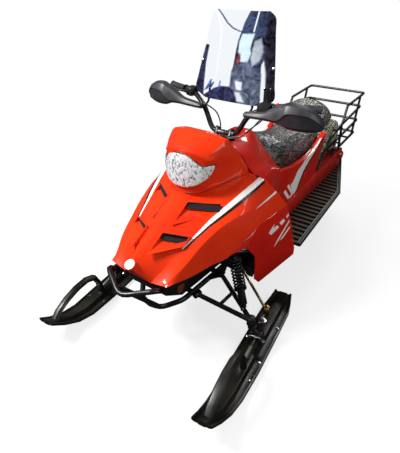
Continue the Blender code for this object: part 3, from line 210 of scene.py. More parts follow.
def start(name, colour, roughness, metallic=0.0):
    """A new material with one Principled shader, and object coordinates to draw on."""
    material = bpy.data.materials.new(name)
    material.use_nodes = True
    tree = material.node_tree
    shader = tree.nodes["Principled BSDF"]
    shader.inputs["Base Color"].default_value = linear(colour)
    shader.inputs["Roughness"].default_value = roughness
    shader.inputs["Metallic"].default_value = metallic
    return material, tree, shader, add(tree, "TexCoord", {}).outputs["Object"]


def grain(tree, shader, place, scale, height, colours=None, roughness=None, detail=3.0, broad_scale=20.0):
    """Fine noise over a surface: a bump of its real height, and its effect on colour and gloss."""
    fine = add(tree, "TexNoise", {"Scale": scale, "Detail": detail, "Roughness": 0.55}, {"Vector": place})
    bump = add(tree, "Bump", {"Strength": 1.0, "Distance": height}, {"Height": fine.outputs["Fac"]})
    tree.links.new(bump.outputs["Normal"], shader.inputs["Normal"])
    broad = add(tree, "TexNoise", {"Scale": broad_scale, "Detail": 4.0}, {"Vector": place})
    if colours:
        ramp = add(tree, "ValToRGB", {}, {"Fac": broad.outputs["Fac"]},
                   ((0.35, colours[0]), (0.65, colours[1])))
        tree.links.new(ramp.outputs["Color"], shader.inputs["Base Color"])
    if roughness:
        gloss = add(tree, "MapRange", {"From Min": 0.3, "From Max": 0.7, "To Min": roughness[0],
                                       "To Max": roughness[1]},
                    {"Value": broad.outputs["Fac"]})
        tree.links.new(gloss.outputs["Result"], shader.inputs["Roughness"])
    return bump


def pick(piece):
    """Makes a piece the only selected one and the active one."""
    bpy.ops.object.select_all(action="DESELECT")
    piece.select_set(True)
    bpy.context.view_layer.objects.active = piece
    return piece


def new_piece(name, points, faces):
    """A mesh of its own from points and faces, as an object at the origin."""
    mesh = bpy.data.meshes.new(name)
    mesh.from_pydata([tuple(p) for p in points], [], faces)
    piece = bpy.data.objects.new(name, mesh)
    bpy.context.collection.objects.link(piece)
    return pick(piece)


def outward(piece, merge=0.0001):
    """Merges doubled points, then turns every face outwards."""
    pick(piece)
    bpy.ops.object.mode_set(mode="EDIT")
    bpy.ops.mesh.select_all(action="SELECT")
    bpy.ops.mesh.remove_doubles(threshold=merge)
    bpy.ops.mesh.normals_make_consistent(inside=False)
    bpy.ops.object.mode_set(mode="OBJECT")
    return piece


def apply(piece, kind, **settings):
    """Adds a modifier with its settings and applies it."""
    pick(piece)
    change = piece.modifiers.new(kind.lower(), kind)
    for name, value in settings.items():
        setattr(change, name, value)
    bpy.ops.object.modifier_apply(modifier=change.name)
    return piece


def soften(piece, width=0.002, angle=28, segments=2):
    """Rounds the sharp edges and smooths the rest."""
    apply(piece, "BEVEL", width=width, segments=segments, limit_method="ANGLE",
          angle_limit=math.radians(angle),
          use_clamp_overlap=True)
    bpy.ops.object.shade_smooth_by_angle(angle=math.radians(angle + 8))
    return piece


def hand_in(piece, material, body, slot, *replaced):
    """Gives a finished piece its material and its body, and hides the nodes it stands for. The slot is not
    used.
    """
    piece.data.materials.clear()
    piece.data.materials.append(material)
    if replaced:
        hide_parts(*replaced)
    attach(piece, body)
    return piece


def spline(points, steps):
    """Points on a smooth curve through the given ones, with some steps between each two."""
    points = [Vector(p) for p in points]
    ends = [2 * points[0] - points[1]] + points + [2 * points[-1] - points[-2]]
    out = []
    for a, b, c, d in zip(ends, ends[1:], ends[2:], ends[3:]):
        for k in range(steps):
            t = k / steps
            out.append(0.5 * (2 * b + (c - a) * t + (2 * a - 5 * b + 4 * c - d) * t * t
                              + (3 * b - a - 3 * c + d) * t**3))
    return out + [points[-1]]


def net(rows, steps):
    """Rows of points with smooth rows between them."""
    columns = [spline(column, steps) for column in zip(*rows)]
    return [list(row) for row in zip(*columns)]


def quads(rows, closed=False):
    """Points and faces of a net; closed joins the last column to the first."""
    count = len(rows[0])
    faces = []
    for k in range(len(rows) - 1):
        for i in range(count if closed else count - 1):
            a, b = count * k + i, count * k + (i + 1) % count
            faces.append((a, a + count, b + count, b))
    return [p for row in rows for p in row], faces


def between(a, b, parts, crown=0.0, out=Vector((0, 0, 1))):
    """Points from a to before b, on an arc that stands proud by the crown."""
    made = []
    for k in range(parts):
        t = k / parts
        made.append(a.lerp(b, t) + out * crown * 4 * t * (1 - t))
    return made


hood_rows = []
for ridge, shoulder, waist, low in HOOD_SECTIONS:
    low, waist, shoulder, top = Vector(low), Vector(waist), Vector(shoulder), Vector((0.0, *ridge))
    half = between(low, waist, 4, HOOD_CROWNS["flank"], Vector((1, 0, 0)))
    half += between(waist, shoulder, 3, HOOD_CROWNS["side"])
    half += between(shoulder, top, 6, HOOD_CROWNS["top"]) + [top]
    hood_rows.append(half + [Vector((-p.x, p.y, p.z)) for p in reversed(half[:-1])])
hood_net = net(hood_rows, 7)
hood_points, hood_faces = quads(hood_net)
hood_faces.append(tuple(NOSE_COLUMNS))
hood = outward(new_piece("hood_shell", hood_points, hood_faces))
hood_skin = BVHTree.FromObject(hood, bpy.context.evaluated_depsgraph_get())
apply(hood, "SOLIDIFY", thickness=HOOD_WALL, offset=-1.0)


def scoop_frame(inner, outer):
    """Direction along a scoop's mesh, and the direction out of the hood there."""
    across = (outer - inner).normalized()
    rise = across.cross(SCOOP_AHEAD).normalized()
    return across, rise if rise.z > 0 else -rise


def scoop_wedge(inner, outer, length, margin, top):
    """Ramped pocket: flush in front and deepest at the mesh. The margin grows its hidden sides."""
    across, rise = scoop_frame(inner, outer)
    a, b = inner - across * margin, outer + across * margin
    back, deep, lip = -SCOOP_AHEAD * (margin + 0.004), -rise * (SCOOP_DEPTH + margin), -rise * margin
    rings = []
    for corner, reach in ((a, length), (b, length * 0.35)):
        front = SCOOP_AHEAD * (reach + margin * 2)
        rings.append([corner + back + rise * top, corner + back + deep, corner + deep,
                      corner + front + lip, corner + front + rise * top])
    points, faces = quads(rings, closed=True)
    return points, faces + [(0, 1, 2, 3, 4), (5, 6, 7, 8, 9)]


def carve(piece, tool, operation="DIFFERENCE"):
    """Joins or cuts a piece with a tool, which is then thrown away."""
    apply(piece, "BOOLEAN", object=tool, operation=operation, solver="EXACT", use_self=False)
    bpy.data.objects.remove(tool, do_unlink=True)


for side in (1, -1):
    for level, (inner, outer, length) in SCOOPS.items():
        for margin, top, operation in ((HOOD_WALL, -HOOD_WALL / 2, "UNION"), (0.0, 0.020, "DIFFERENCE")):
            points, faces = scoop_wedge(inner, outer, length, margin, top)
            tool = new_piece("scoop_tool", [(side * p.x, p.y, p.z) for p in points], faces)
            carve(hood, outward(tool), operation)
soften(hood, 0.002, 12)

# ABS under clear lacquer: an orange red, even in tone, with a thin hard gloss over a softer one.
red_shell, tree, shader, place = start("ABS moulded, red under clear lacquer", RED, 0.32)
shader.inputs["Coat Weight"].default_value = 0.8
shader.inputs["Coat Roughness"].default_value = 0.035
shader.inputs["Specular IOR Level"].default_value = 0.12
grain(tree, shader, place, 220, 0.00006, ("ea370b", "e22c08"), (0.30, 0.40), broad_scale=5.0)
# The same plastic with painted shade, for the panels below and behind the hood: less orange, less shine.
red_with_painted_shade, tree, shader, place = start("ABS moulded, deep red under clear lacquer", "d01a06", 0.34)
shader.inputs["Coat Weight"].default_value = 0.7
shader.inputs["Coat Roughness"].default_value = 0.05
shader.inputs["Specular IOR Level"].default_value = 0.1
grain(tree, shader, place, 220, 0.00006, ("d21c07", "c41505"), (0.30, 0.40), broad_scale=5.0)
hand_in(hood, red_shell, "chassis", "red_body", "hood")

# Moulded mesh: rows of holes 4 mm apart, so that it reads as a dull, dotted black.
mesh_black, tree, shader, place = start("mesh insert, black", "151114", 0.75)
shader.inputs["Specular IOR Level"].default_value = 0.15
holes = add(tree, "TexVoronoi", {"Scale": 260.0, "Randomness": 0.15}, {"Vector": place})
hole_ramp = add(tree, "ValToRGB", {}, {"Fac": holes.outputs["Distance"]},
                ((0.25, "070506"), (0.5, "2b2327")))
tree.links.new(hole_ramp.outputs["Color"], shader.inputs["Base Color"])
hole_bump = add(tree, "Bump", {"Strength": 1.0, "Distance": 0.002}, {"Height": holes.outputs["Distance"]})
tree.links.new(hole_bump.outputs["Normal"], shader.inputs["Normal"])


def dress(material, *names):
    """Gives CAD nodes their finish through their own material slots."""
    for name in names:
        for slot_place in nodes[name].material_slots:
            slot_place.material = material


dress(mesh_black, "grille_upper_left", "grille_upper_right", "grille_lower_left", "grille_lower_right")


# Headlight pod. A hollow red moulding on the hood, its face swept back to both sides round the lamp.
# It is lofted through the same sections as the solid below it, with soft curves between its creases.
# y of each section, then its half outline (x, z) from the top centre to the bottom
POD_SECTIONS = [
    (-0.545, [(0.0, 0.897), (0.060, 0.889), (0.110, 0.866), (0.156, 0.838), (0.152, 0.790), (0.118, 0.735),
              (0.070, 0.695), (0.0, 0.675)]),
    (-0.500, [(0.0, 0.925), (0.070, 0.921), (0.135, 0.902), (0.172, 0.850), (0.174, 0.780), (0.150, 0.715),
              (0.100, 0.670), (0.0, 0.660)]),
    (-0.430, [(0.0, 0.955), (0.080, 0.951), (0.148, 0.930), (0.178, 0.870), (0.188, 0.790), (0.180, 0.710),
              (0.120, 0.650), (0.0, 0.640)]),
    (-0.360, [(0.0, 0.930), (0.065, 0.926), (0.120, 0.900), (0.165, 0.855), (0.190, 0.785), (0.190, 0.710),
              (0.120, 0.650), (0.0, 0.640)]),
    (-0.275, [(0.0, 0.868), (0.050, 0.866), (0.095, 0.848), (0.145, 0.815), (0.185, 0.765), (0.205, 0.700),
              (0.120, 0.650), (0.0, 0.640)]),
]
# The face lies back by the sweep times x squared, and past the fold line by the fold as well
POD_SWEEP = 3.2
POD_FOLD = 0.75
FOLD_X = 0.108
FOLD_LEAN = 0.45
FOLD_FOOT = 0.815
POD_FACE_PARTS = 14
LENS_FRONT = -0.551
LENS_DEPTH = 0.030
LENS_HEIGHT = 0.8
LENS_PLAY = 0.0015
# Lens columns: x, lower edge z, upper edge z
LENS_COLUMNS = [
    (0.0, 0.729, 0.884), (0.030, 0.731, 0.881), (0.055, 0.737, 0.870), (0.076, 0.746, 0.851),
    (0.094, 0.757, 0.836), (0.110, 0.772, 0.832), (0.124, 0.793, 0.833), (0.135, 0.828, 0.8345),
]


def swept(x, z):
    """How far the pod's face lies back at a place: a soft sweep, and a fold beyond the lamp's corner."""
    return POD_SWEEP * x * x + POD_FOLD * max(0.0, abs(x) - FOLD_X - FOLD_LEAN * max(0.0, z - FOLD_FOOT))


def pod_ring(y, half, sweep):
    """One closed section, from the top centre down the left side and up the right one."""
    corners = [Vector((x, 0, z)) for x, z in half]
    fine = spline(corners[:3], 3)[:-1]
    for a, b in zip(corners[2:], corners[3:]):
        fine += between(a, b, 3, 0.0015, Vector((1, 0, 0)))
    fine.append(corners[-1])
    left = [Vector((p.x, y + sweep * swept(p.x, p.z), p.z)) for p in fine]
    return left + [Vector((-p.x, p.y, p.z)) for p in reversed(left[1:-1])]


pod_rings = []
for k, (y, half) in enumerate(POD_SECTIONS):
    pod_rings.append(pod_ring(y, half, 1 - k / (len(POD_SECTIONS) - 1)))
pod_points, pod_faces = quads(net(pod_rings, 5), closed=True)
count = len(pod_rings[0])
face_rows = [[0] * (POD_FACE_PARTS + 1)]
for i in range(1, count // 2):
    edge = pod_rings[0][i]
    row = [i]
    for part in range(1, POD_FACE_PARTS):
        x = edge.x * (1 - 2 * part / POD_FACE_PARTS)
        row.append(len(pod_points))
        pod_points.append(Vector((x, POD_SECTIONS[0][0] + swept(x, edge.z), edge.z)))
    face_rows.append(row + [count - i])
face_rows.append([count // 2] * (POD_FACE_PARTS + 1))
for above, below in zip(face_rows, face_rows[1:]):
    for j in range(POD_FACE_PARTS):
        face = [above[j], below[j], below[j + 1], above[j + 1]]
        pod_faces.append(tuple(dict.fromkeys(face)))
pod = outward(new_piece("headlight_pod_shell", pod_points, pod_faces), 0.0002)


def lens_columns(grow):
    """Lens edges at evenly spaced places across: x, lower z, upper z."""
    rows = [(x, low - grow, high + grow) for x, low, high in LENS_COLUMNS]
    rows[-1] = (rows[-1][0] + grow * 2, rows[-1][1] - grow, rows[-1][2] + grow)
    half = spline(rows, 3)
    return [Vector((-p.x, p.y, p.z)) for p in reversed(half[1:])] + half


pocket_rings = []
for x, low, high in lens_columns(LENS_PLAY):
    front, back = LENS_FRONT - 0.05 + swept(x, LENS_HEIGHT), LENS_FRONT + LENS_DEPTH + swept(x, LENS_HEIGHT)
    pocket_rings.append([(x, front, low), (x, front, high), (x, back, high), (x, back, low)])
pocket_points, pocket_faces = quads(pocket_rings, closed=True)
pocket_faces += [(0, 1, 2, 3), tuple(range(len(pocket_points) - 4, len(pocket_points)))]
carve(pod, outward(new_piece("lens_pocket", pocket_points, pocket_faces)))
soften(pod, 0.0025, 11)
hand_in(pod, red_shell, "chassis", "red_body", "headlight_pod")


# Headlight. A clear lens over a chromed, faceted reflector, held by a thin dark gasket.
# The bright and dark streaks of the reflector's facets and the lens's ribs are painted reflections in its
# colour.
LENS_ROWS = 16
LENS_BULGE = 0.006
LENS_HALF = 0.150
LENS_WALL = 0.012


def lens_net(front, bulge):
    """Rows of points over the lamp's outline; the bulge stands proud in its middle."""
    rows = []
    for x, low, high in lens_columns(0.0):
        column = []
        for k in range(LENS_ROWS + 1):
            t = k / LENS_ROWS
            proud = bulge * 4 * t * (1 - t) * (1 - abs(x) / LENS_HALF)
            column.append(Vector((x, front + swept(x, LENS_HEIGHT) - proud, low + (high - low) * t)))
        rows.append(column)
    return rows


lens = new_piece("headlight_lens", *quads(lens_net(LENS_FRONT - 0.001, LENS_BULGE)))
outward(lens)
apply(lens, "SOLIDIFY", thickness=LENS_WALL, offset=0.0)
soften(lens, 0.001, 40)
# Ribs and facets of 15 to 40 mm with the room painted in as reflections: a broken pattern of white,
# grey and dark streaks.
lamp, tree, shader, place = start("polycarbonate lens over a chromed reflector", "e4e9ec", 0.10, 0.15)
shader.inputs["Coat Weight"].default_value = 1.0
shader.inputs["Coat Roughness"].default_value = 0.02
facets = add(tree, "TexVoronoi", {"Scale": 62.0, "distance": "CHEBYCHEV", "Randomness": 0.8},
             {"Vector": place})
painted_streaks_place = add(tree, "Mapping", {"Rotation": (0.0, 0.6, 0.0), "Scale": (60.0, 1.0, 26.0)},
                    {"Vector": place})
painted_streaks = add(tree, "TexNoise", {"Scale": 1.0, "Detail": 4.0, "Roughness": 0.6, "Distortion": 2.2}, {
    "Vector": painted_streaks_place.outputs["Vector"]})
pattern = add(tree, "Math", {"operation": "MULTIPLY_ADD", 1: 0.35}, {
    0: facets.outputs["Distance"], 2: painted_streaks.outputs["Fac"]})
# Painted reflections: the streaks are coloured into the lens, over a real bump of the same pattern.
lens_painted_reflections = add(tree, "ValToRGB", {}, {"Fac": pattern.outputs[0]}, (
    (0.49, "4d5964"), (0.54, "a9b5bf"), (0.60, "dfe6ea"), (0.67, "fafcfd"),
))
tree.links.new(lens_painted_reflections.outputs["Color"], shader.inputs["Base Color"])
lamp_bump = add(tree, "Bump", {"Strength": 1.0, "Distance": 0.004}, {"Height": pattern.outputs[0]})
tree.links.new(lamp_bump.outputs["Normal"], shader.inputs["Normal"])
hand_in(lens, lamp, "chassis", "lamp_glass", "headlight")


def pipe(name, points, radius, sides=8, closed=False):
    """A round rod, hose or wire along points, as a mesh with closed ends."""
    curve = bpy.data.curves.new(name, "CURVE")
    curve.dimensions = "3D"
    curve.bevel_depth = radius
    curve.bevel_resolution = sides // 2 - 1
    curve.use_fill_caps = True
    line = curve.splines.new("POLY")
    line.points.add(len(points) - 1)
    line.use_cyclic_u = closed
    for knot, p in zip(line.points, points):
        knot.co = (*p, 1.0)
    piece = bpy.data.objects.new(name, curve)
    bpy.context.collection.objects.link(piece)
    pick(piece)
    bpy.ops.object.convert(target="MESH")
    outward(piece)
    bpy.ops.object.shade_smooth_by_angle(angle=math.radians(50))
    return piece


# Rubber: a matt black with hardly any gloss, its grain a third of a millimetre deep.
rubber, tree, shader, place = start("rubber moulded, black", "1a1a1b", 0.72)
grain(tree, shader, place, 500, 0.0003, ("141415", "232324"), (0.62, 0.85))
gasket_rows = lens_net(LENS_FRONT - 0.0045, 0.0)
lens_edge = [row[-1] for row in gasket_rows] + [row[0] for row in reversed(gasket_rows)][1:-1]
hand_in(pipe("headlight_gasket", lens_edge, 0.0022, 6, closed=True), rubber, "chassis", "black_rubber")


# Tank cover. The red moulding behind the bar, humped over the fuel tank and waisted for the knees.
# It is lofted through the solid's sections; its skin runs on from the hood's rear edge.
# y, then half outline (x, z) of its outer skin from the top centre down
TANK_SECTIONS = [
    (-0.2685, [(0.0, 0.868), (0.050, 0.866), (0.095, 0.848), (0.145, 0.815), (0.185, 0.765), (0.245, 0.710),
               (0.262, 0.600)]),
    (-0.150, [(0.0, 0.842), (0.050, 0.842), (0.100, 0.825), (0.150, 0.785), (0.185, 0.742), (0.235, 0.690),
              (0.252, 0.560)]),
    (-0.030, [(0.0, 0.857), (0.045, 0.853), (0.085, 0.810), (0.125, 0.755), (0.165, 0.705), (0.212, 0.660),
              (0.225, 0.520)]),
    (0.065, [(0.0, 0.790), (0.045, 0.780), (0.080, 0.740), (0.120, 0.700), (0.165, 0.655), (0.197, 0.628),
             (0.205, 0.500)]),
]
BAR_CLAMP = Vector((0.0, -0.202, 0.880))
COLUMN_FOOT = Vector((0.0, -0.415, 0.490))
COLUMN_LINE = (BAR_CLAMP - COLUMN_FOOT).normalized()
BORE_ENDS = (COLUMN_FOOT + COLUMN_LINE * 0.10, BAR_CLAMP + COLUMN_LINE * 0.10)
tank_rows = []
for y, half in TANK_SECTIONS:
    fine = spline([(x, y, z) for x, z in half], 3)
    tank_rows.append([Vector((-p.x, p.y, p.z)) for p in reversed(fine[1:])] + fine)
tank = outward(new_piece("tank_cover_shell", *quads(net(tank_rows, 8))))
apply(tank, "SOLIDIFY", thickness=HOOD_WALL, offset=-1.0)


def rod(name, start_at, end_at, radius, sides=24):
    """A plain round bar between two points, from a turned cylinder."""
    start_at, end_at = Vector(start_at), Vector(end_at)
    bpy.ops.object.select_all(action="DESELECT")
    bpy.ops.mesh.primitive_cylinder_add(vertices=sides, radius=radius, depth=(end_at - start_at).length)
    piece = bpy.context.object
    piece.name = piece.data.name = name
    turn = (end_at - start_at).to_track_quat("Z", "Y").to_matrix().to_4x4()
    piece.data.transform(Matrix.Translation((start_at + end_at) / 2) @ turn)
    return piece


carve(tank, rod("column_bore", *BORE_ENDS, 0.062))
soften(tank, 0.002, 32)
# The tank cover takes the red with painted shade.
hand_in(tank, red_with_painted_shade, "chassis", "red_body", "tank_cover")
carve(pod, rod("pod_bore", *BORE_ENDS, 0.021))


# Side panels and seat base. Faceted red mouldings below the hood and beside the seat; the edges of
# their folds are rounded as on a thermoformed sheet.
def refined(node_name, name, width=0.002, angle=28, segments=2):
    """A copy of a CAD node with merged points, rounded edges and smooth shading."""
    piece = nodes[node_name].copy()
    piece.data = nodes[node_name].data.copy()
    piece.name = piece.data.name = name
    bpy.context.collection.objects.link(piece)
    outward(piece, 0.00002)
    return soften(piece, width, angle, segments)


# The side panels and the seat base take the red with painted shade.
for node_name in ("side_panel_left", "side_panel_right"):
    hand_in(refined(node_name, node_name + "_shell", 0.004, 12, 3), red_with_painted_shade, "chassis", "red_body",
            node_name)
base = refined("seat_base", "seat_base_shell", 0.004, 14, 3)
hand_in(base, red_with_painted_shade, "chassis", "red_body", "seat_base")


# Stripes. White and black cast vinyl on the red shells, cut to the photograph's outlines and
# pressed on, so that each follows its shell and stands about a millimetre proud. The right side
# mirrors the left.
VINYL_STEP = 1.7
VINYL_LIFT = 0.0005
HOOD_LIFT = 0.0014
focal = CAMERA_LENS / SENSOR_HEIGHT * PICTURE[1]


def pixel_ray(u, v):
    """Direction from the camera through a pixel of the photograph."""
    across, above = (u - PICTURE[0] / 2) / focal, (PICTURE[1] / 2 - v) / focal
    return (forward + right * across + up * above).normalized()


def on_skin(skin, u, v, lift=0.0):
    """The point of a skin seen at a pixel, lifted off it, or None."""
    spot, normal, _, _ = skin.ray_cast(CAMERA_PLACE, pixel_ray(u, v))
    if spot is None:
        return None
    return spot + normal * (lift if normal.dot(pixel_ray(u, v)) < 0 else -lift)


def skin_of(piece):
    """A piece's surface, for rays to meet."""
    return BVHTree.FromObject(piece, bpy.context.evaluated_depsgraph_get())


def vinyl_cut(name, outline, skin, material, slot, lift=VINYL_LIFT, body="chassis",
              sides=(("left", 1), ("right", -1))):
    """A thin sheet inside an outline of pixels, laid on a skin, and its mirror image."""
    net_mesh = bmesh.new()
    flat = [net_mesh.verts.new((u, v, 0)) for u, v in outline]
    net_mesh.faces.new(flat)
    bmesh.ops.triangulate(net_mesh, faces=net_mesh.faces)
    for _ in range(6):
        long_edges = [e for e in net_mesh.edges if e.calc_length() > VINYL_STEP]
        if not long_edges:
            break
        bmesh.ops.subdivide_edges(net_mesh, edges=long_edges, cuts=1)
        bmesh.ops.triangulate(net_mesh, faces=net_mesh.faces)
    missed = []
    for vert in net_mesh.verts:
        spot = on_skin(skin, vert.co.x, vert.co.y, lift)
        if spot is None:
            missed.append(vert)
        else:
            vert.co = spot
    bmesh.ops.delete(net_mesh, geom=missed, context="VERTS")
    for face in net_mesh.faces:
        face.normal_update()
        if face.normal.dot(CAMERA_PLACE - face.calc_center_median()) < 0:
            face.normal_flip()
    mesh = bpy.data.meshes.new(name)
    net_mesh.to_mesh(mesh)
    net_mesh.free()
    for word, sign in sides:
        copy = mesh.copy()
        if sign < 0:
            copy.transform(Matrix.Scale(-1, 4, (1, 0, 0)))
            copy.flip_normals()
        piece = bpy.data.objects.new(f"{name}_{word}", copy)
        bpy.context.collection.objects.link(piece)
        pick(piece)
        bpy.ops.object.shade_smooth()
        hand_in(piece, material, body, slot)


# Cast vinyl: dense, even colour with a satin sheen, a little glossier than paper.
white_vinyl, tree, shader, place = start("cast vinyl, white", "f3efec", 0.3)
grain(tree, shader, place, 700, 0.00005, ("f6f3f0", "ebe6e2"), (0.24, 0.36))
shader.inputs["Coat Weight"].default_value = 0.5
black_vinyl, tree, shader, place = start("cast vinyl, black", "141214", 0.3)
grain(tree, shader, place, 700, 0.00005, ("121012", "1e1a1c"), (0.24, 0.36))
side_skin = skin_of(bpy.data.objects["side_panel_left_shell"])
base_skin = skin_of(base)
hood_vinyl = skin_of(hood)
vinyl_cut("hood_stripe", [(182, 249), (195, 235.2), (210, 219.5), (234.4, 198.5), (248, 187),
                          (259.3, 177.5), (264.4, 179.6), (256, 187.3), (241, 200), (221, 216),
                          (208, 226.2), (196, 237.2), (182.8, 249.6)],
          hood_vinyl, white_vinyl, "white_badge", HOOD_LIFT)
vinyl_cut("hood_pinstripe", [(183, 249.9), (196, 237.6), (208, 226.6), (221, 216.4), (241, 200.4),
                             (256, 187.7), (264.4, 180), (264.8, 182.5), (256.5, 190.3), (243.5, 201.7),
                             (223, 217.6), (209, 227.8), (197, 238.4), (184, 250.4)],
          hood_vinyl, black_vinyl, "black_plastic", HOOD_LIFT)
VENTS = {
    "upper": [(187.3, 203), (223, 206.2), (219.2, 212.6), (187.3, 208.8)],
    "lower": [(161.8, 234.3), (189.2, 238.7), (184.7, 245.1), (161.8, 240.6)],
}
VENTS_FAR = {
    "upper": [(160.5, 182.6), (166.9, 194.1), (164.7, 197.9), (159.8, 187.7)],
    "lower": [(137.9, 213.2), (145.6, 225.3), (143.9, 229.2), (137.9, 217.7)],
}
for outlines, word in ((VENTS, "left"), (VENTS_FAR, "right")):
    for level, outline in outlines.items():
        vinyl_cut(f"scoop_mesh_{level}", outline, hood_skin, mesh_black, "black_plastic", 0.0015,
                  sides=((word, 1),))
vinyl_cut("shoulder_wedge", [(255, 209.5), (266, 199.5), (275.5, 190.8), (276.6, 192.6), (269, 199),
                             (260, 206)],
          hood_vinyl, white_vinyl, "white_badge", HOOD_LIFT)
MARKS = {
    "panel_hook": [(268.6, 233.1), (274.5, 223.7), (273, 228.6), (277, 225.2), (279.2, 227.1), (271, 235)],
    "panel_dash_front": [(279.4, 222.7), (283.4, 218.7), (284.9, 220.7), (281.4, 225.2)],
    "panel_dash_rear": [(285.9, 216.7), (288.4, 213.2), (289, 214.8), (286.9, 218.2)],
    "panel_slash_upper": [(273.5, 247.4), (278, 238.5), (289.2, 219.5), (289.4, 221.5), (282.9, 232.6),
                          (276.5, 243.4)],
    "panel_slash_lower": [(279.4, 240.5), (290, 225.5), (289.6, 228), (282.4, 238.5)],
}
for name, outline in MARKS.items():
    vinyl_cut(name, outline, side_skin, white_vinyl, "white_badge")
REAR_STRIPE = [(293, 181.8), (297.6, 171.1), (302.7, 165.6), (311.8, 154.9), (318.4, 142.7), (319.9, 138.7),
               (321.9, 137.7), (315.9, 149.8), (308.8, 161), (303.2, 171.1), (299.6, 180.3), (296.1, 189.9),
               (290, 200), (289, 198.5), (292, 191.4), (290.5, 184.8)]
vinyl_cut("rear_stripe", REAR_STRIPE, base_skin, white_vinyl, "white_badge")
vinyl_cut("rear_pinstripe", [(321.9, 137.7), (322.9, 137.9), (316.9, 150.2), (309.9, 161.5), (304.4, 171.5),
                             (300.8, 180.7), (297, 190.6), (296.1, 189.9), (299.6, 180.3), (303.2, 171.1),
                             (308.8, 161), (315.9, 149.8)],
          base_skin, black_vinyl, "black_plastic")
vinyl_cut("rear_bar_front", [(283.4, 192.4), (285.4, 189.9), (290, 197.5), (288.5, 200.5)], base_skin,
          white_vinyl, "white_badge")
vinyl_cut("rear_bar_middle", [(287, 186.4), (289, 184.3), (292.3, 191.4), (291, 193.5)], base_skin,
          white_vinyl, "white_badge")


# Pod seam. A painted shadow where the pod's flared base sits in the hood: a fine dark red cord
# laid along the line where the two skins meet.
# Painted shade: a dull dark red, for red plastic that gets no light.
painted_shadow_red, tree, shader, place = start("ABS, dark red as painted shadow in the gap", "6e0d05", 0.5)
grain(tree, shader, place, 300, 0.0001, ("740f06", "560a04"), (0.4, 0.6))
pod_skin = skin_of(pod)
gap_line = []
for u, v in [(184.5, 192.6), (192, 193.2), (202, 192.3), (213, 188.3), (226, 182.5), (240, 176.5),
             (249, 172.5)]:
    spots = [s for s in (on_skin(skin, u, v, 0.0006) for skin in (pod_skin, hood_vinyl)) if s]
    gap_line.append(min(spots, key=lambda s: (s - CAMERA_PLACE).length))
gap_line = spline(gap_line, 5)
for word, sign in (("left", 1), ("right", -1)):
    gap = pipe(f"pod_painted_shadow_{word}", [(sign * max(p.x, 0.0), p.y, p.z) for p in gap_line], 0.0020, 6)
    hand_in(gap, painted_shadow_red, "chassis", "red_body")


# Nose badge. A plain round disc of white enamel, set on a short red boss across the hood's ridge,
# so that it stands clear of the fold.
# Enamel: a clean, faintly pink white with a clear gloss.
badge, tree, shader, place = start("enamel disc, white", "f4eef0", 0.2)
shader.inputs["Coat Weight"].default_value = 0.8
grain(tree, shader, place, 500, 0.00008, ("f6f2f4", "ece2e6"), (0.16, 0.28))
BADGE_PLACE = Vector((0.0, -0.9045, 0.495))
BADGE_LINE = Vector((0.0, -0.527, 0.850))
BADGE_RADIUS = 0.0242
BOSS_RADIUS = 0.0258
boss_ends = (BADGE_PLACE - BADGE_LINE * 0.012, BADGE_PLACE + BADGE_LINE * 0.0005)
boss = rod("badge_boss", *boss_ends, BOSS_RADIUS, 40)
hand_in(soften(boss, 0.001, 30), red_shell, "chassis", "red_body")
disc = rod("nose_badge", BADGE_PLACE, BADGE_PLACE + BADGE_LINE * 0.003, BADGE_RADIUS, 48)
hand_in(soften(disc, 0.0012, 30, 3), badge, "chassis", "white_badge", "nose_disc")


# Seat. Foam under black vinyl, still in the clear film that it was delivered in. The film lies in
# loose folds, with painted highlights as pale streaks along them. A piped seam runs between its top
# and its skirt.
def film(name, dark, middle, painted_highlight, scale):
    """Vinyl in crinkled clear film: painted highlights as fine pale streaks on long folds."""
    material, tree, shader, place = start(name, middle, 0.3)
    shader.inputs["Coat Weight"].default_value = 1.0
    shader.inputs["Coat Roughness"].default_value = 0.09
    stretch = add(tree, "Mapping", {"Rotation": (0.4, 0.2, 0.7),
                                    "Scale": (scale, scale * 0.35, scale * 0.8)}, {"Vector": place})
    folds = add(tree, "TexNoise", {"Scale": 1.0, "Detail": 6.0, "Roughness": 0.62, "Distortion": 1.6}, {
        "Vector": stretch.outputs["Vector"]})
    middle_off = add(tree, "Math", {"operation": "SUBTRACT", 1: 0.5}, {0: folds.outputs["Fac"]})
    ridge = add(tree, "Math", {"operation": "ABSOLUTE"}, {0: middle_off.outputs[0]})
    bump = add(tree, "Bump", {"Strength": 1.0, "Distance": 0.012}, {"Height": ridge.outputs[0]})
    tree.links.new(bump.outputs["Normal"], shader.inputs["Normal"])
    tree.links.new(bump.outputs["Normal"], shader.inputs["Coat Normal"])
    # Painted highlights: the fold crests are coloured pale, over the film's real bump and gloss.
    ramp = add(tree, "ValToRGB", {}, {"Fac": ridge.outputs[0]},
               ((0.0, painted_highlight), (0.022, middle), (0.09, dark)))
    tree.links.new(ramp.outputs["Color"], shader.inputs["Base Color"])
    gloss = add(tree, "MapRange", {"From Min": 0.0, "From Max": 0.12, "To Min": 0.22, "To Max": 0.5},
                {"Value": ridge.outputs[0]})
    tree.links.new(gloss.outputs["Result"], shader.inputs["Roughness"])
    return material


CLOTH_FRAMES = (1, 20)
CLOTH_STIFFNESS = 8


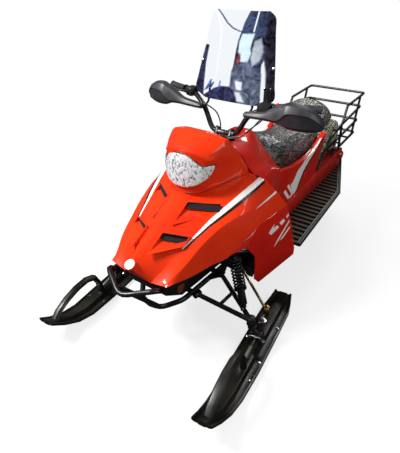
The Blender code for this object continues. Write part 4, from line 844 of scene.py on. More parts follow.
def plump(piece, size, pressure, cap, shape=None):
    """Swells a closed soft solid like a stuffed cover, each point no further than the cap."""
    pick(piece)
    piece.data.remesh_voxel_size = size
    bpy.ops.object.voxel_remesh()
    for vert in piece.data.vertices if shape else ():
        vert.co = shape(vert.co)
    rest = [v.co.copy() for v in piece.data.vertices]
    cloth = piece.modifiers.new("stuffing", "CLOTH")
    cloth.settings.use_pressure = True
    cloth.settings.uniform_pressure_force = pressure
    cloth.settings.effector_weights.gravity = 0.0
    cloth.settings.quality = 5
    cloth.settings.tension_stiffness = CLOTH_STIFFNESS
    cloth.settings.compression_stiffness = CLOTH_STIFFNESS
    cloth.point_cache.frame_start, cloth.point_cache.frame_end = CLOTH_FRAMES
    for step in range(CLOTH_FRAMES[0], CLOTH_FRAMES[1] + 1):
        bpy.context.scene.frame_set(step)
    pick(piece)
    bpy.ops.object.modifier_apply(modifier=cloth.name)
    bpy.context.scene.frame_set(CLOTH_FRAMES[0])
    for vert, before in zip(piece.data.vertices, rest):
        move = vert.co - before
        if move.length > cap:
            vert.co = before + move.normalized() * cap
    apply(piece, "SMOOTH", factor=0.5, iterations=3)
    apply(piece, "SUBSURF", levels=1, render_levels=1)
    bpy.ops.object.shade_smooth()
    return piece


def soft_copy(node_name, name, scale):
    """A copy of a soft CAD solid, drawn in a little so that it can swell into its space."""
    piece = nodes[node_name].copy()
    piece.data = nodes[node_name].data.copy()
    piece.name = piece.data.name = name
    bpy.context.collection.objects.link(piece)
    outward(piece)
    middle = sum((v.co for v in piece.data.vertices), Vector()) / len(piece.data.vertices)
    shrink = Matrix.Diagonal((*scale, 1))
    piece.data.transform(Matrix.Translation(middle) @ shrink @ Matrix.Translation(-middle))
    return piece


# Black vinyl seen through film: painted highlights as grey streaks, 40 to 100 mm long, on near black.
seat_film = film("vinyl cover, black, in clear film", "1b1c1c", "4b4d4b", "8f918c", 26)
SEAT_RISE = 0.024
SEAT_FRONT = 0.10
SEAT_REAR = 0.72
SEAT_SKIRT = 0.60


def share_of(value, reach):
    """How far along a reach a value lies, from 0 to 1."""
    return max(0.0, min(1.0, value / reach))


def humped(p):
    """The seat's top drawn up along its middle length, as the foam under the film stands."""
    share = share_of(p.z - SEAT_SKIRT, 0.08) * share_of(p.y - SEAT_FRONT, 0.10)
    return Vector((p.x, p.y, p.z + SEAT_RISE * share * share_of(SEAT_REAR - p.y, 0.12)))


cushion = plump(soft_copy("seat", "seat_cushion", (1.0, 0.99, 0.99)), 0.006, 4.0, 0.010, humped)
hand_in(cushion, seat_film, "chassis", "seat_vinyl", "seat")
seat_skin = skin_of(cushion)

# Backrest. A foam roll in the same cover, arched at its middle; its film is looser and paler, and its
# painted highlight streaks paler still.
BOLSTER_MIDDLE = 0.70
BOLSTER_HALF = 0.156
BOLSTER_STRETCH = 1.06


def arched(p):
    """The roll drawn thin towards its ends, which arches its top."""
    thick = math.sqrt(max(0.1, 1 - (p.x / BOLSTER_HALF) ** 2)) * BOLSTER_STRETCH
    return Vector((p.x, p.y, BOLSTER_MIDDLE + (p.z - BOLSTER_MIDDLE) * thick))


bolster_film = film("vinyl bolster in clear film", "2a2b27", "6d6e62", "c9c8b8", 44)
bolster = soft_copy("backrest", "backrest_bolster", (0.98, 0.97, 0.97))
apply(bolster, "BEVEL", width=0.045, segments=5, limit_method="ANGLE", angle_limit=math.radians(50))
plump(bolster, 0.006, 5.0, 0.012, arched)
hand_in(bolster, bolster_film, "chassis", "seat_vinyl", "backrest")

# Piping between the seat's top and its skirt: a dark cord, a little paler than the cover.
seam_black, tree, shader, place = start("piping cord, vinyl covered", "2a2b2b", 0.4)
grain(tree, shader, place, 300, 0.0003, ("232424", "4a4b48"), (0.3, 0.5))
SEAM_PIXELS = [(272.2, 143.8), (277, 147.5), (283, 150.2), (290.5, 150.9), (298, 151), (305.7, 149.8),
               (311, 146), (316, 140.5)]
seam_line = [on_skin(seat_skin, u, v, 0.003) for u, v in SEAM_PIXELS]
seam_line = spline([p for p in seam_line if p], 4)
for word, sign in (("left", 1), ("right", -1)):
    welt = pipe(f"seat_welt_{word}", [(sign * p.x, p.y, p.z) for p in seam_line], 0.0028, 6)
    hand_in(welt, seam_black, "chassis", "seat_vinyl")


# Luggage cushion. A loose bag of foam under the rack's front end, wrapped in yellowed film,
# which shows between the bars behind the red side wall.
BAG_MIDDLE = (0, 0.768, 0.578)
BAG_SIZE = (0.372, 0.310, 0.210)
BAG_TILT = math.radians(4)
bpy.ops.object.select_all(action="DESELECT")
bpy.ops.mesh.primitive_cube_add(size=1.0, location=(0, 0, 0))
bag = bpy.context.object
bag.name = bag.data.name = "luggage_cushion"
bag_turn = Matrix.Rotation(BAG_TILT, 4, "X")
bag.data.transform(Matrix.Translation(BAG_MIDDLE) @ bag_turn @ Matrix.Diagonal((*BAG_SIZE, 1)))
apply(bag, "BEVEL", width=0.035, segments=4, limit_method="NONE")
plump(bag, 0.007, 3.0, 0.010)
# Aged film over foam: an olive grey, with painted highlights as pale yellow-green streaks.
bag_film = film("foam in yellowed film", "454230", "8f8b6c", "ece8c8", 34)
hand_in(bag, bag_film, "chassis", "seat_vinyl")


# Tunnel and running boards. Red painted sheet over the belt; dark extruded boards with cross ribs,
# worn pale along their tops, with a bright rail and a black lip round their outer edge.
BOARD_RISE = 0.090
BOARD_DATUM = 0.294
# Corners of a board's outer edge: x and y
BOARD_EDGE = [(0.3945, -0.05), (0.3635, 0.56), (0.230, 0.905)]
# Painted sheet: the shells' red, darker by painted shade, with the brushing just showing through.
tunnel_red_with_painted_shade, tree, shader, place = start("aluminium sheet, painted red, darkened by painted shade", "c41706", 0.35)
shader.inputs["Coat Weight"].default_value = 0.7
shader.inputs["Coat Roughness"].default_value = 0.06
grain(tree, shader, place, 300, 0.0001, ("c61807", "b21305"), (0.28, 0.4))
hand_in(refined("tunnel", "tunnel_sheet", 0.003, 30, 2), tunnel_red_with_painted_shade, "chassis", "black_steel", "tunnel")

# Worn extrusion: the rib's tops are rubbed to a pale olive, the grooves between them stay black.
board_paint, tree, shader, place = start("aluminium extrusion, dark and worn", "2f2d25", 0.5)
grain(tree, shader, place, 260, 0.0003, None, (0.38, 0.6))
axes = add(tree, "SeparateXYZ", {}, {0: place})
slope = add(tree, "Math", {"operation": "MULTIPLY_ADD", 1: -BOARD_RISE},
            {0: axes.outputs["Y"], 2: axes.outputs["Z"]})
height = add(tree, "Math", {"operation": "SUBTRACT", 1: BOARD_DATUM}, {0: slope.outputs[0]})
wear = add(tree, "TexNoise", {"Scale": 16.0, "Detail": 5.0, "Roughness": 0.65}, {"Vector": place})
worn = add(tree, "Math", {"operation": "MULTIPLY_ADD", 1: 0.004},
           {0: wear.outputs["Fac"], 2: height.outputs[0]})
rib_tone = add(tree, "MapRange", {"From Min": 0.002, "From Max": 0.0125}, {"Value": worn.outputs[0]})
rib_ramp = add(tree, "ValToRGB", {}, {"Fac": rib_tone.outputs["Result"]}, (
    (0.25, "0c0b0a"), (0.6, "38342a"), (0.95, "5d5746")))
tree.links.new(rib_ramp.outputs["Color"], shader.inputs["Base Color"])
# Bare aluminium gone dull: a soft grey line along the board.
rail_metal, tree, shader, place = start("aluminium rail, dull", "77786f", 0.45, 0.8)
grain(tree, shader, place, 500, 0.0001, ("6c6d65", "8a8b80"), (0.36, 0.55))
# Extruded edge strip: a smooth black with a broad sheen.
lip_black, tree, shader, place = start("edge strip, black", "17181a", 0.4)
grain(tree, shader, place, 400, 0.0002, ("141517", "25262a"), (0.32, 0.5))
for word, sign in (("left", 1), ("right", -1)):
    node_name = f"running_board_{word}"
    hand_in(refined(node_name, f"board_{word}", 0.001, 40, 2), board_paint, "chassis", "black_plastic",
            node_name)
    rail = [(sign * (x - 0.011), y, BOARD_DATUM + BOARD_RISE * y + 0.0085) for x, y in BOARD_EDGE]
    hand_in(pipe(f"board_rail_{word}", rail, 0.004, 8), rail_metal, "chassis", "black_steel")
    strip = [(sign * (x + 0.0005), y, BOARD_DATUM + BOARD_RISE * y + 0.0015) for x, y in BOARD_EDGE]
    hand_in(pipe(f"board_edge_strip_{word}", strip, 0.0105, 10), lip_black, "chassis", "black_plastic")


# Rear rack. Black powder-coated tube, bent to nested loops and welded to four legs.
# Each run is a separate tube, joined to the others in one piece.
RACK_HALF = 0.200
RACK_TUBE = 0.0085
TUNNEL_TOP = 0.388
# Loops from the top down: y and height of the front end, then of the rear end, above the tunnel
RACK_LEVELS = [(0.955, 0.387, 1.265, 0.407), (0.800, 0.262, 1.230, 0.324), (0.680, 0.168, 1.205, 0.234),
               (0.800, 0.106, 1.180, 0.150)]
# Side view of a leg and of the upright posts: y and height above the tunnel
RACK_LEG = [(0.955, 0.387), (0.900, 0.262), (0.735, 0.247), (0.575, 0.0746)]
RACK_POSTS = [((0.900, 0.106), (0.900, 0.262)), ((1.130, 0.147), (1.190, 0.401)),
              ((0.680, 0.168), (0.800, 0.106))]
RACK_SLATS = [(0.850, 0.113), (0.960, 0.124), (1.070, 0.137)]
# Powder coat: a deep black with an even, slightly pebbled gloss.
black_steel, tree, shader, place = start("steel tube, powder coated black", "121316", 0.3)
grain(tree, shader, place, 600, 0.0001, ("0f1013", "1b1c20"), (0.24, 0.4))


def rounded(points, radius, steps=5):
    """A path with each inner corner turned into an arc."""
    points = [Vector(p) for p in points]
    out = [points[0]]
    for before, corner, after in zip(points, points[1:], points[2:]):
        back, on = before - corner, after - corner
        cut = min(radius, back.length * 0.45, on.length * 0.45)
        first, last = corner + back.normalized() * cut, corner + on.normalized() * cut
        for k in range(steps + 1):
            t = k / steps
            out.append(first * (1 - t) ** 2 + corner * 2 * t * (1 - t) + last * t**2)
    return out + [points[-1]]


def joined(name, *pieces):
    """Several meshes as one piece."""
    bpy.ops.object.select_all(action="DESELECT")
    for part in pieces:
        part.select_set(True)
    bpy.context.view_layer.objects.active = pieces[0]
    if len(pieces) > 1:
        bpy.ops.object.join()
    pieces[0].name = pieces[0].data.name = name
    return pieces[0]


rack_tubes = []
for front, front_z, rear, rear_z in RACK_LEVELS:
    loop = [(RACK_HALF, front, TUNNEL_TOP + front_z), (RACK_HALF, rear, TUNNEL_TOP + rear_z)]
    loop += [(-x, y, z) for x, y, z in reversed(loop)]
    rack_tubes.append(pipe("rack_loop", rounded(loop, 0.024), RACK_TUBE, 10))
for x in (RACK_HALF, -RACK_HALF):
    leg = [(x, y, TUNNEL_TOP + z) for y, z in RACK_LEG]
    rack_tubes.append(pipe("rack_leg", rounded(leg, 0.04), RACK_TUBE, 10))
    for post in RACK_POSTS:
        ends = [(x, y, TUNNEL_TOP + z) for y, z in post]
        rack_tubes.append(pipe("rack_post", ends, RACK_TUBE * 0.95, 10))
for y, z in RACK_SLATS:
    ends = [(x, y, TUNNEL_TOP + z) for x in (-RACK_HALF, RACK_HALF)]
    rack_tubes.append(pipe("rack_slat", ends, RACK_TUBE * 0.8, 8))
hand_in(joined("rack_frame", *rack_tubes), black_steel, "chassis", "black_steel", "rear_rack")


# Tail. Rubber flap, and on each side a round red lens in a chromed ring, screwed to the tunnel.
# Clear red acrylic: deep, glossy red with the lens's fine rings inside it.
tail_lens, tree, shader, place = start("acrylic lens, red", "d41414", 0.12)
shader.inputs["Coat Weight"].default_value = 1.0
rings_wave = add(tree, "TexWave", {"Scale": 60.0, "wave_type": "RINGS", "rings_direction": "X"},
                 {"Vector": place})
wave_bump = add(tree, "Bump", {"Strength": 1.0, "Distance": 0.0008}, {"Height": rings_wave.outputs["Fac"]})
tree.links.new(wave_bump.outputs["Normal"], shader.inputs["Normal"])
# Chrome: a near mirror, with faint haze where it is wiped.
chrome, tree, shader, place = start("steel, chromed", "dcdedf", 0.12, 1.0)
grain(tree, shader, place, 300, 0.0001, ("e2e4e5", "c3c5c7"), (0.08, 0.2))
hand_in(refined("snow_flap", "tail_flap", 0.002, 30), rubber, "chassis", "black_rubber", "snow_flap")
RING_RADIUS = 0.0245
RING_TURN = [2 * math.pi * k / 32 for k in range(32)]
for word, sign in (("left", 1), ("right", -1)):
    node_name = f"tail_light_{word}"
    low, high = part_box(node_name)
    middle = (Vector(low) + Vector(high)) / 2
    hand_in(refined(node_name, f"tail_lens_{word}", 0.004, 40, 3), tail_lens, "chassis", "tail_lens",
            node_name)
    ring = [middle + Vector((sign * 0.004, RING_RADIUS * math.cos(a),
                             RING_RADIUS * math.sin(a))) for a in RING_TURN]
    hand_in(pipe(f"tail_ring_{word}", ring, 0.0034, 8, closed=True), chrome, "chassis", "zinc")


# Drive. Moulded belt with its bar lugs, and the rails, shafts and wheels inside it.
# Belt rubber: dead matt, grey-black, with a coarse grain.
belt_rubber, tree, shader, place = start("rubber belt, reinforced", "202021", 0.78)
grain(tree, shader, place, 420, 0.0005, ("191919", "2d2d2c"), (0.68, 0.9))
dress(belt_rubber, "track")
# Moulded polypropylene: black with a fine pebble and a broad, weak sheen.
black_plastic, tree, shader, place = start("polypropylene moulded, black", "1a1b1e", 0.4)
grain(tree, shader, place, 900, 0.00015, ("17181a", "242529"), (0.32, 0.48))
# Polyethylene slides: waxy black, duller than the mouldings.
slide_plastic, tree, shader, place = start("polyethylene slide, black", "1d1e20", 0.5)
grain(tree, shader, place, 350, 0.0002, ("191a1c", "28292c"), (0.42, 0.6))
dress(slide_plastic, "slide_rails", "drive_axle")


# Front chassis. Belly pan with its amber reflector, cast engine block, and the black tube cradle
# with its shock towers, bumper and lower guard.
# Sand-cast aluminium: rough mid grey, seen only through the gaps.
cast, tree, shader, place = start("aluminium, as cast", "54565a", 0.55, 0.7)
grain(tree, shader, place, 240, 0.0006, ("45474b", "66686c"), (0.48, 0.7))
dress(cast, "engine")
hand_in(refined("belly_pan", "belly_skin", 0.006, 20, 3), black_plastic, "chassis", "black_plastic",
        "belly_pan")
hand_in(refined("front_frame", "cradle", 0.0008, 50, 1), black_steel, "chassis", "black_steel",
        "front_frame")
hand_in(refined("front_bumper", "nose_bumper", 0.0006, 50, 1), black_steel, "chassis", "black_steel",
        "front_bumper")
pan_skin = skin_of(bpy.data.objects["belly_skin"])
# Amber acrylic over cube-corner prisms 4 to 5 mm across: an orange-brown painted glint in each cell,
# darker towards the cell's edge.
amber, tree, shader, place = start("acrylic reflector, amber", "8a4a16", 0.15)
shader.inputs["Coat Weight"].default_value = 1.0
prisms = add(tree, "TexVoronoi", {"Scale": 220.0, "Randomness": 0.1}, {"Vector": place})
prism_bump = add(tree, "Bump", {"Strength": 1.0, "Distance": 0.001}, {"Height": prisms.outputs["Distance"]})
tree.links.new(prism_bump.outputs["Normal"], shader.inputs["Normal"])
prism_painted_glint = add(tree, "ValToRGB", {}, {"Fac": prisms.outputs["Distance"]},
                 ((0.0, "a35c1e"), (1.0, "4e2408")))
tree.links.new(prism_painted_glint.outputs["Color"], shader.inputs["Base Color"])
REFLECTOR = [(177, 291), (177.6, 285.5), (183.5, 282.5), (184.6, 284), (182, 291), (179, 293)]
vinyl_cut("pan_reflector", REFLECTOR, pan_skin, amber, "tail_lens", lift=0.003)


# Front suspension. Welded A-arms; each spring damper is a black body with a wound coil
# between two seats, bolted between the tower and the arm.
SHOCK_TOP = Vector((0.285, -0.527, 0.440))
SHOCK_FOOT = Vector((0.3650, -0.5489, 0.1925))
COIL_TURNS = 8.5
COIL_RADIUS = 0.0255
COIL_WIRE = 0.0042
COIL_STEPS = 16
COIL_SPAN = (0.07, 0.59)
# The damper's turned pieces: where each starts and ends along it, and its radius
DAMPER_PIECES = [(0.0, 0.62, 0.012), (0.03, 0.065, 0.030), (0.60, 0.635, 0.030), (0.635, 0.93, 0.0185),
                 (0.93, 1.0, 0.012)]
# Yellow zinc: a pale brassy metal, uneven in hue from bath to bath.
zinc, tree, shader, place = start("steel, yellow zinc plated", "b9a877", 0.3, 1.0)
grain(tree, shader, place, 300, 0.0001, ("c6b06f", "9d9a86"), (0.22, 0.4), broad_scale=40.0)
# Bright zinc: white metal with small dull patches.
bolt_steel, tree, shader, place = start("bolt steel, bright zinc", "c9cbcb", 0.25, 1.0)
grain(tree, shader, place, 400, 0.0001, ("d4d6d6", "a5a7a8"), (0.18, 0.34), broad_scale=60.0)


def bolt(spot, line, radius=0.007, height=0.006):
    """A hexagon head on a round washer, standing on a point along a direction."""
    spot, line = Vector(spot), Vector(line).normalized()
    head = rod("bolt_head", spot, spot + line * height, radius, 6)
    washer = rod("washer", spot - line * 0.001, spot + line * 0.0012, radius * 1.45, 20)
    both = joined("bolt", head, washer)
    return soften(both, radius * 0.10, 30, 2)


for word, sign in (("left", 1), ("right", -1)):
    hand_in(refined(f"a_arm_{word}", f"lower_arm_{word}", 0.0008, 50, 1), black_steel, "chassis",
            "black_steel", f"a_arm_{word}")
    top, foot = (Vector((sign * p.x, p.y, p.z)) for p in (SHOCK_TOP, SHOCK_FOOT))
    line = (foot - top).normalized()
    aside = line.orthogonal().normalized()
    other = line.cross(aside)
    coil = []
    for k in range(int(COIL_TURNS * COIL_STEPS) + 1):
        angle = 2 * math.pi * k / COIL_STEPS
        t = COIL_SPAN[0] + (COIL_SPAN[1] - COIL_SPAN[0]) * k / (COIL_TURNS * COIL_STEPS)
        coil.append(top.lerp(foot, t) + (aside * math.cos(angle) + other * math.sin(angle)) * COIL_RADIUS)
    parts = [pipe("coil", coil, COIL_WIRE, 8)]
    for a, b, radius in DAMPER_PIECES:
        parts.append(soften(rod("damper", top.lerp(foot, a), top.lerp(foot, b), radius), 0.0015, 40, 2))
    hand_in(joined(f"spring_damper_{word}", *parts), black_steel, "chassis", "black_steel", f"shock_{word}")
    arm_bolt = bolt((sign * 0.3655, -0.566, 0.1925), (0, -1, 0), 0.007, 0.007)
    hand_in(arm_bolt, bolt_steel, "chassis", "zinc")
    arm_bolt.name = arm_bolt.data.name = f"damper_bolt_{word}"


# Skis and spindles. Black polyethylene skis with a loop handle, bolted to steel feet; a small gas
# damper lies on each between the foot and a bracket, and a zinc tie rod ends on each spindle's arm.
SKI_OFFSET = 0.036
SKI_DECK = 0.018
# Bolt heads on a ski: across, ahead and up from the spindle's foot
SKI_STUDS = [(0.000, 0.505, 0.118), (0.050, 0.10, SKI_DECK), (-0.050, 0.10, SKI_DECK),
             (0.050, 0.215, SKI_DECK), (-0.050, 0.215, SKI_DECK), (0.050, -0.15, SKI_DECK),
             (-0.050, -0.15, SKI_DECK), (0.0, 0.200, 0.130)]
FOOT_BRACKET = [(-0.034, 0.020, 0.070), (-0.024, 0.026, 0.094), (0.024, 0.026, 0.094),
                (0.034, 0.020, 0.070)]
ARM_PIN = (-0.004, -0.047, 0.137)
ROD_BALL = (-0.001, -0.111, 0.159)
BOOT_HEIGHT = 0.011
# Polyethylene: waxy, uneven black with scuffs that catch a broad sheen.
ski_plastic, tree, shader, place = start("polyethylene moulded, black", "131412", 0.36)
grain(tree, shader, place, 320, 0.0003, ("0f100e", "211f18"), (0.26, 0.46), broad_scale=9.0)
# Cast polyurethane: a warm translucent brown, half matt.
boot_rubber, tree, shader, place = start("polyurethane boot, amber", "b5762c", 0.4)
grain(tree, shader, place, 500, 0.0002, ("a8661f", "c48a3c"), (0.34, 0.5))
for word, sign in (("left", 1), ("right", -1)):
    body = f"ski_body_{word}"
    space = Matrix.Translation((sign * 0.420, -0.575, 0)) @ Matrix.Rotation(math.radians(189), 4, "Z")

    def at(x, y, z):
        """A place given from the spindle's foot, in the ski's own directions."""
        return space @ Vector((x - sign * SKI_OFFSET, y, z))

    rise = Vector((0, 0, 1))
    hand_in(refined(f"ski_{word}", f"ski_moulding_{word}", 0.003, 22, 3), ski_plastic, body,
            "black_plastic", f"ski_{word}")
    hand_in(refined(f"spindle_{word}", f"spindle_foot_{word}", 0.001, 45, 2), black_steel, body,
            "black_steel", f"spindle_{word}")
    studs = [bolt(at(*spot), rise, 0.0075, 0.005) for spot in SKI_STUDS]
    hand_in(joined(f"ski_bolts_{word}", *studs), bolt_steel, body, "zinc")
    lever = soften(rod("gas_damper_tube", at(0.0, 0.075, 0.075), at(0.0, 0.165, 0.062), 0.009), 0.001, 40)
    hand_in(joined(f"ski_damper_{word}", lever), rail_metal, body, "zinc")
    stem = rod(f"ski_damper_stem_{word}", at(0.0, 0.030, 0.082), at(0.0, 0.080, 0.074), 0.0045)
    bracket = pipe("foot_bracket", [at(*spot) for spot in FOOT_BRACKET], 0.006, 8)
    nuts = [bolt(at(x, 0.018, 0.070), at(x, 1.0, 0.0) - at(0, 1.0, 0.0), 0.011, 0.010)
            for x in (0.036, -0.036)]
    hand_in(joined(f"ski_foot_fittings_{word}", stem, bracket, *nuts), bolt_steel, body, "zinc")
    pin = at(*ARM_PIN)
    pin_nut = joined(f"steering_arm_nut_{word}", bolt(pin, rise, 0.0135, 0.013),
                     rod("pin_end", pin, pin + rise * 0.019, 0.007, 16))
    hand_in(pin_nut, bolt_steel, body, "zinc")
    hand_in(refined(f"tie_rod_{word}", f"tie_rod_end_{word}", 0.0008, 50, 1), zinc, f"tie_body_{word}",
            "zinc", f"tie_rod_{word}")
    ball = at(*ROD_BALL)
    boot = rod("boot", ball, ball + rise * BOOT_HEIGHT, 0.0125, 24)
    hand_in(soften(boot, 0.003, 40, 3), boot_rubber, f"tie_body_{word}", "zinc")
    boot.name = boot.data.name = f"ball_joint_boot_{word}"
    ball_nut = bolt(ball + rise * BOOT_HEIGHT, rise, 0.008, 0.008)
    hand_in(ball_nut, zinc, f"tie_body_{word}", "zinc")
    ball_nut.name = ball_nut.data.name = f"ball_joint_nut_{word}"


# Handlebar. Black tube on two clamps over the column, moulded grips, the brake's master cylinder
# with its lever, a kill switch, a throttle housing, and the cables that run down to the column.
# Where a guard's arm is clamped, at the upper bend of the bar
BAR_BEND = (0.125, -0.190, 0.985)
bar_tube = refined("handlebar", "bar_tube", 0.0008, 50, 1)
hand_in(bar_tube, black_steel, "bar", "black_steel", "handlebar")
clamp_bolts = []
for x in (-0.040, 0.040):
    for y in (-0.012, 0.012):
        spot = BAR_CLAMP + Vector((x, 0, 0)) + COLUMN_LINE * 0.020 + Vector((0, y * 0.8, -y * 0.45))
        clamp_bolts.append(bolt(spot, COLUMN_LINE, 0.0042, 0.004))
hand_in(joined("clamp_bolts", *clamp_bolts), black_steel, "bar", "black_steel")
for word in ("left", "right"):
    hand_in(refined(f"grip_{word}", f"grip_sleeve_{word}", 0.001, 40, 2), rubber, "bar", "black_rubber",
            f"grip_{word}")
hand_in(refined("brake_master", "master_cylinder", 0.003, 35, 3), black_plastic, "bar", "black_plastic",
        "brake_master")


def block(name, middle, size, bevel, turn=0.0):
    """A moulded block with rounded edges, turned about the upright axis."""
    bpy.ops.object.select_all(action="DESELECT")
    bpy.ops.mesh.primitive_cube_add(size=1.0)
    piece = bpy.context.object
    piece.name = piece.data.name = name
    turned = Matrix.Rotation(turn, 4, "Z") @ Matrix.Diagonal((*size, 1))
    piece.data.transform(Matrix.Translation(middle) @ turned)
    return soften(piece, bevel, 30, 3)


hand_in(block("kill_switch_housing", (0.258, -0.166, 1.032), (0.044, 0.040, 0.026), 0.006, 0.3),
        black_plastic, "bar", "black_plastic")
# Dyed nylon: a bright, slightly waxy red.
red_button, tree, shader, place = start("nylon push button, red", "e02414", 0.3)
grain(tree, shader, place, 500, 0.0001, ("e22614", "c91c10"), (0.25, 0.4))
button = soften(rod("kill_button", (0.262, -0.170, 1.044), (0.262, -0.170, 1.054), 0.008), 0.002, 30, 3)
hand_in(button, red_button, "bar", "red_body")
throttle = block("throttle_housing", (-0.243, -0.140, 1.034), (0.050, 0.052, 0.046), 0.010, -0.35)
lever_line = [(-0.245, -0.170, 1.036), (-0.275, -0.186, 1.040), (-0.315, -0.182, 1.042)]
lever = pipe("throttle_lever", spline(lever_line, 5), 0.0055, 8)
hand_in(joined("throttle_control", throttle, lever), black_plastic, "bar", "black_plastic")
# Vinyl sheath: black with a long highlight along the cable.
cable_sheath, tree, shader, place = start("cable sheath, black vinyl", "18181a", 0.35)
grain(tree, shader, place, 600, 0.0001, ("151517", "26262a"), (0.28, 0.45))
# Each cable's radius and the points it runs through
CABLES = {
    "throttle_cable": (0.0034, [(-0.150, -0.200, 1.000), (-0.120, -0.207, 1.002), (-0.100, -0.204, 0.998),
                                (-0.064, -0.202, 0.983), (-0.040, -0.202, 0.963), (-0.024, -0.202, 0.925),
                                (-0.020, -0.206, 0.890)]),
    "brake_hose": (0.0034, [(0.195, -0.190, 1.018), (0.213, -0.212, 0.985), (0.163, -0.228, 0.935),
                            (0.120, -0.250, 0.895), (0.085, -0.262, 0.884), (0.045, -0.258, 0.884),
                            (0.010, -0.240, 0.880), (0.0, -0.225, 0.870)]),
    "switch_lead": (0.0026, [(0.236, -0.178, 1.020), (0.190, -0.206, 0.970), (0.150, -0.212, 0.920),
                             (0.105, -0.232, 0.888), (0.060, -0.236, 0.880), (0.020, -0.222, 0.868)]),
}
for name, (radius, way) in CABLES.items():
    hand_in(pipe(name, spline(way, 6), radius, 8), cable_sheath, "bar", "black_plastic")


# Handguards. Injection-moulded blades in front of the grips, angular, with a raised upper half whose
# lower edge makes a step. A short arm clamps each to the bar at its inner end.
# x, y, then z of the upper edge, of the step and of the lower edge
GUARD_SECTIONS = [
    (0.122, -0.226, 1.006, 0.992, 0.980), (0.165, -0.231, 1.014, 0.995, 0.982),
    (0.225, -0.235, 1.024, 0.998, 0.986), (0.264, -0.236, 1.046, 1.001, 0.987),
    (0.300, -0.236, 1.068, 1.002, 0.984), (0.325, -0.236, 1.077, 1.018, 0.975),
    (0.350, -0.234, 1.085, 1.040, 0.967), (0.400, -0.225, 1.079, 1.042, 0.963),
    (0.444, -0.211, 1.062, 1.036, 0.964), (0.470, -0.198, 1.039, 1.018, 0.968),
    (0.485, -0.190, 1.014, 1.002, 0.974), (0.492, -0.184, 0.998, 0.992, 0.982),
]
# Grained polypropylene: dark grey, its pebble too fine to see but for a soft, broad highlight.
guard_plastic, tree, shader, place = start("polypropylene moulded, dark grey", "303134", 0.40)
grain(tree, shader, place, 800, 0.0002, ("2d2e31", "38393d"), (0.34, 0.48))
guard_rings = []
for x, y, top, step, low in GUARD_SECTIONS:
    bulge = 0.005 + (top - low) * 0.20
    guard_rings.append([Vector(p) for p in (
        (x, y + 0.012, top), (x, y - bulge * 0.45, top - (top - step) * 0.22),
        (x, y - bulge - 0.002, step + 0.003),
        (x, y - bulge + 0.003, step), (x, y - bulge * 0.55, low + (step - low) * 0.25), (x, y + 0.008, low),
        (x, y + 0.014, low + 0.003), (x, y - bulge + 0.014, step), (x, y + 0.018, top - 0.003))])
guard_points, guard_faces = quads(net(guard_rings, 3), closed=True)
per_ring = len(guard_rings[0])
guard_faces += [tuple(range(per_ring)), tuple(range(len(guard_points) - per_ring, len(guard_points)))]
arm_x, arm_y, arm_z = BAR_BEND
for word, sign in (("left", 1), ("right", -1)):
    blade = outward(new_piece("guard_blade", [(sign * p.x, p.y, p.z) for p in guard_points], guard_faces))
    soften(blade, 0.0016, 15, 3)
    arm = rod("guard_arm", (sign * (arm_x + 0.016), arm_y - 0.036, arm_z + 0.006),
              (sign * (arm_x + 0.010), arm_y, arm_z + 0.002), 0.0085)
    hand_in(joined(f"handguard_blade_{word}", blade, soften(arm, 0.001, 40)), guard_plastic, "bar",
            "black_plastic",
            f"handguard_{word}")


# Windshield. A clear polycarbonate sheet bent back at both sides and held by two stays, a strap and
# screws. The dark room seen through it and in it is painted on as painted reflections: its zones are
# outlines, kept on the mesh as a colour.
# z, y of the middle panel, half width of the flat middle, outer edge x and y
SCREEN_ROWS = [
    (1.024, -0.172, 0.135, 0.164, -0.154), (1.052, -0.164, 0.145, 0.221, -0.135),
    (1.120, -0.148, 0.140, 0.213, -0.121), (1.234, -0.122, 0.130, 0.194, -0.097),
    (1.330, -0.101, 0.118, 0.177, -0.077), (1.384, -0.089, 0.110, 0.167, -0.066),
    (1.409, -0.083, 0.090, 0.137, -0.063),
]
SCREEN_WALL = 0.003
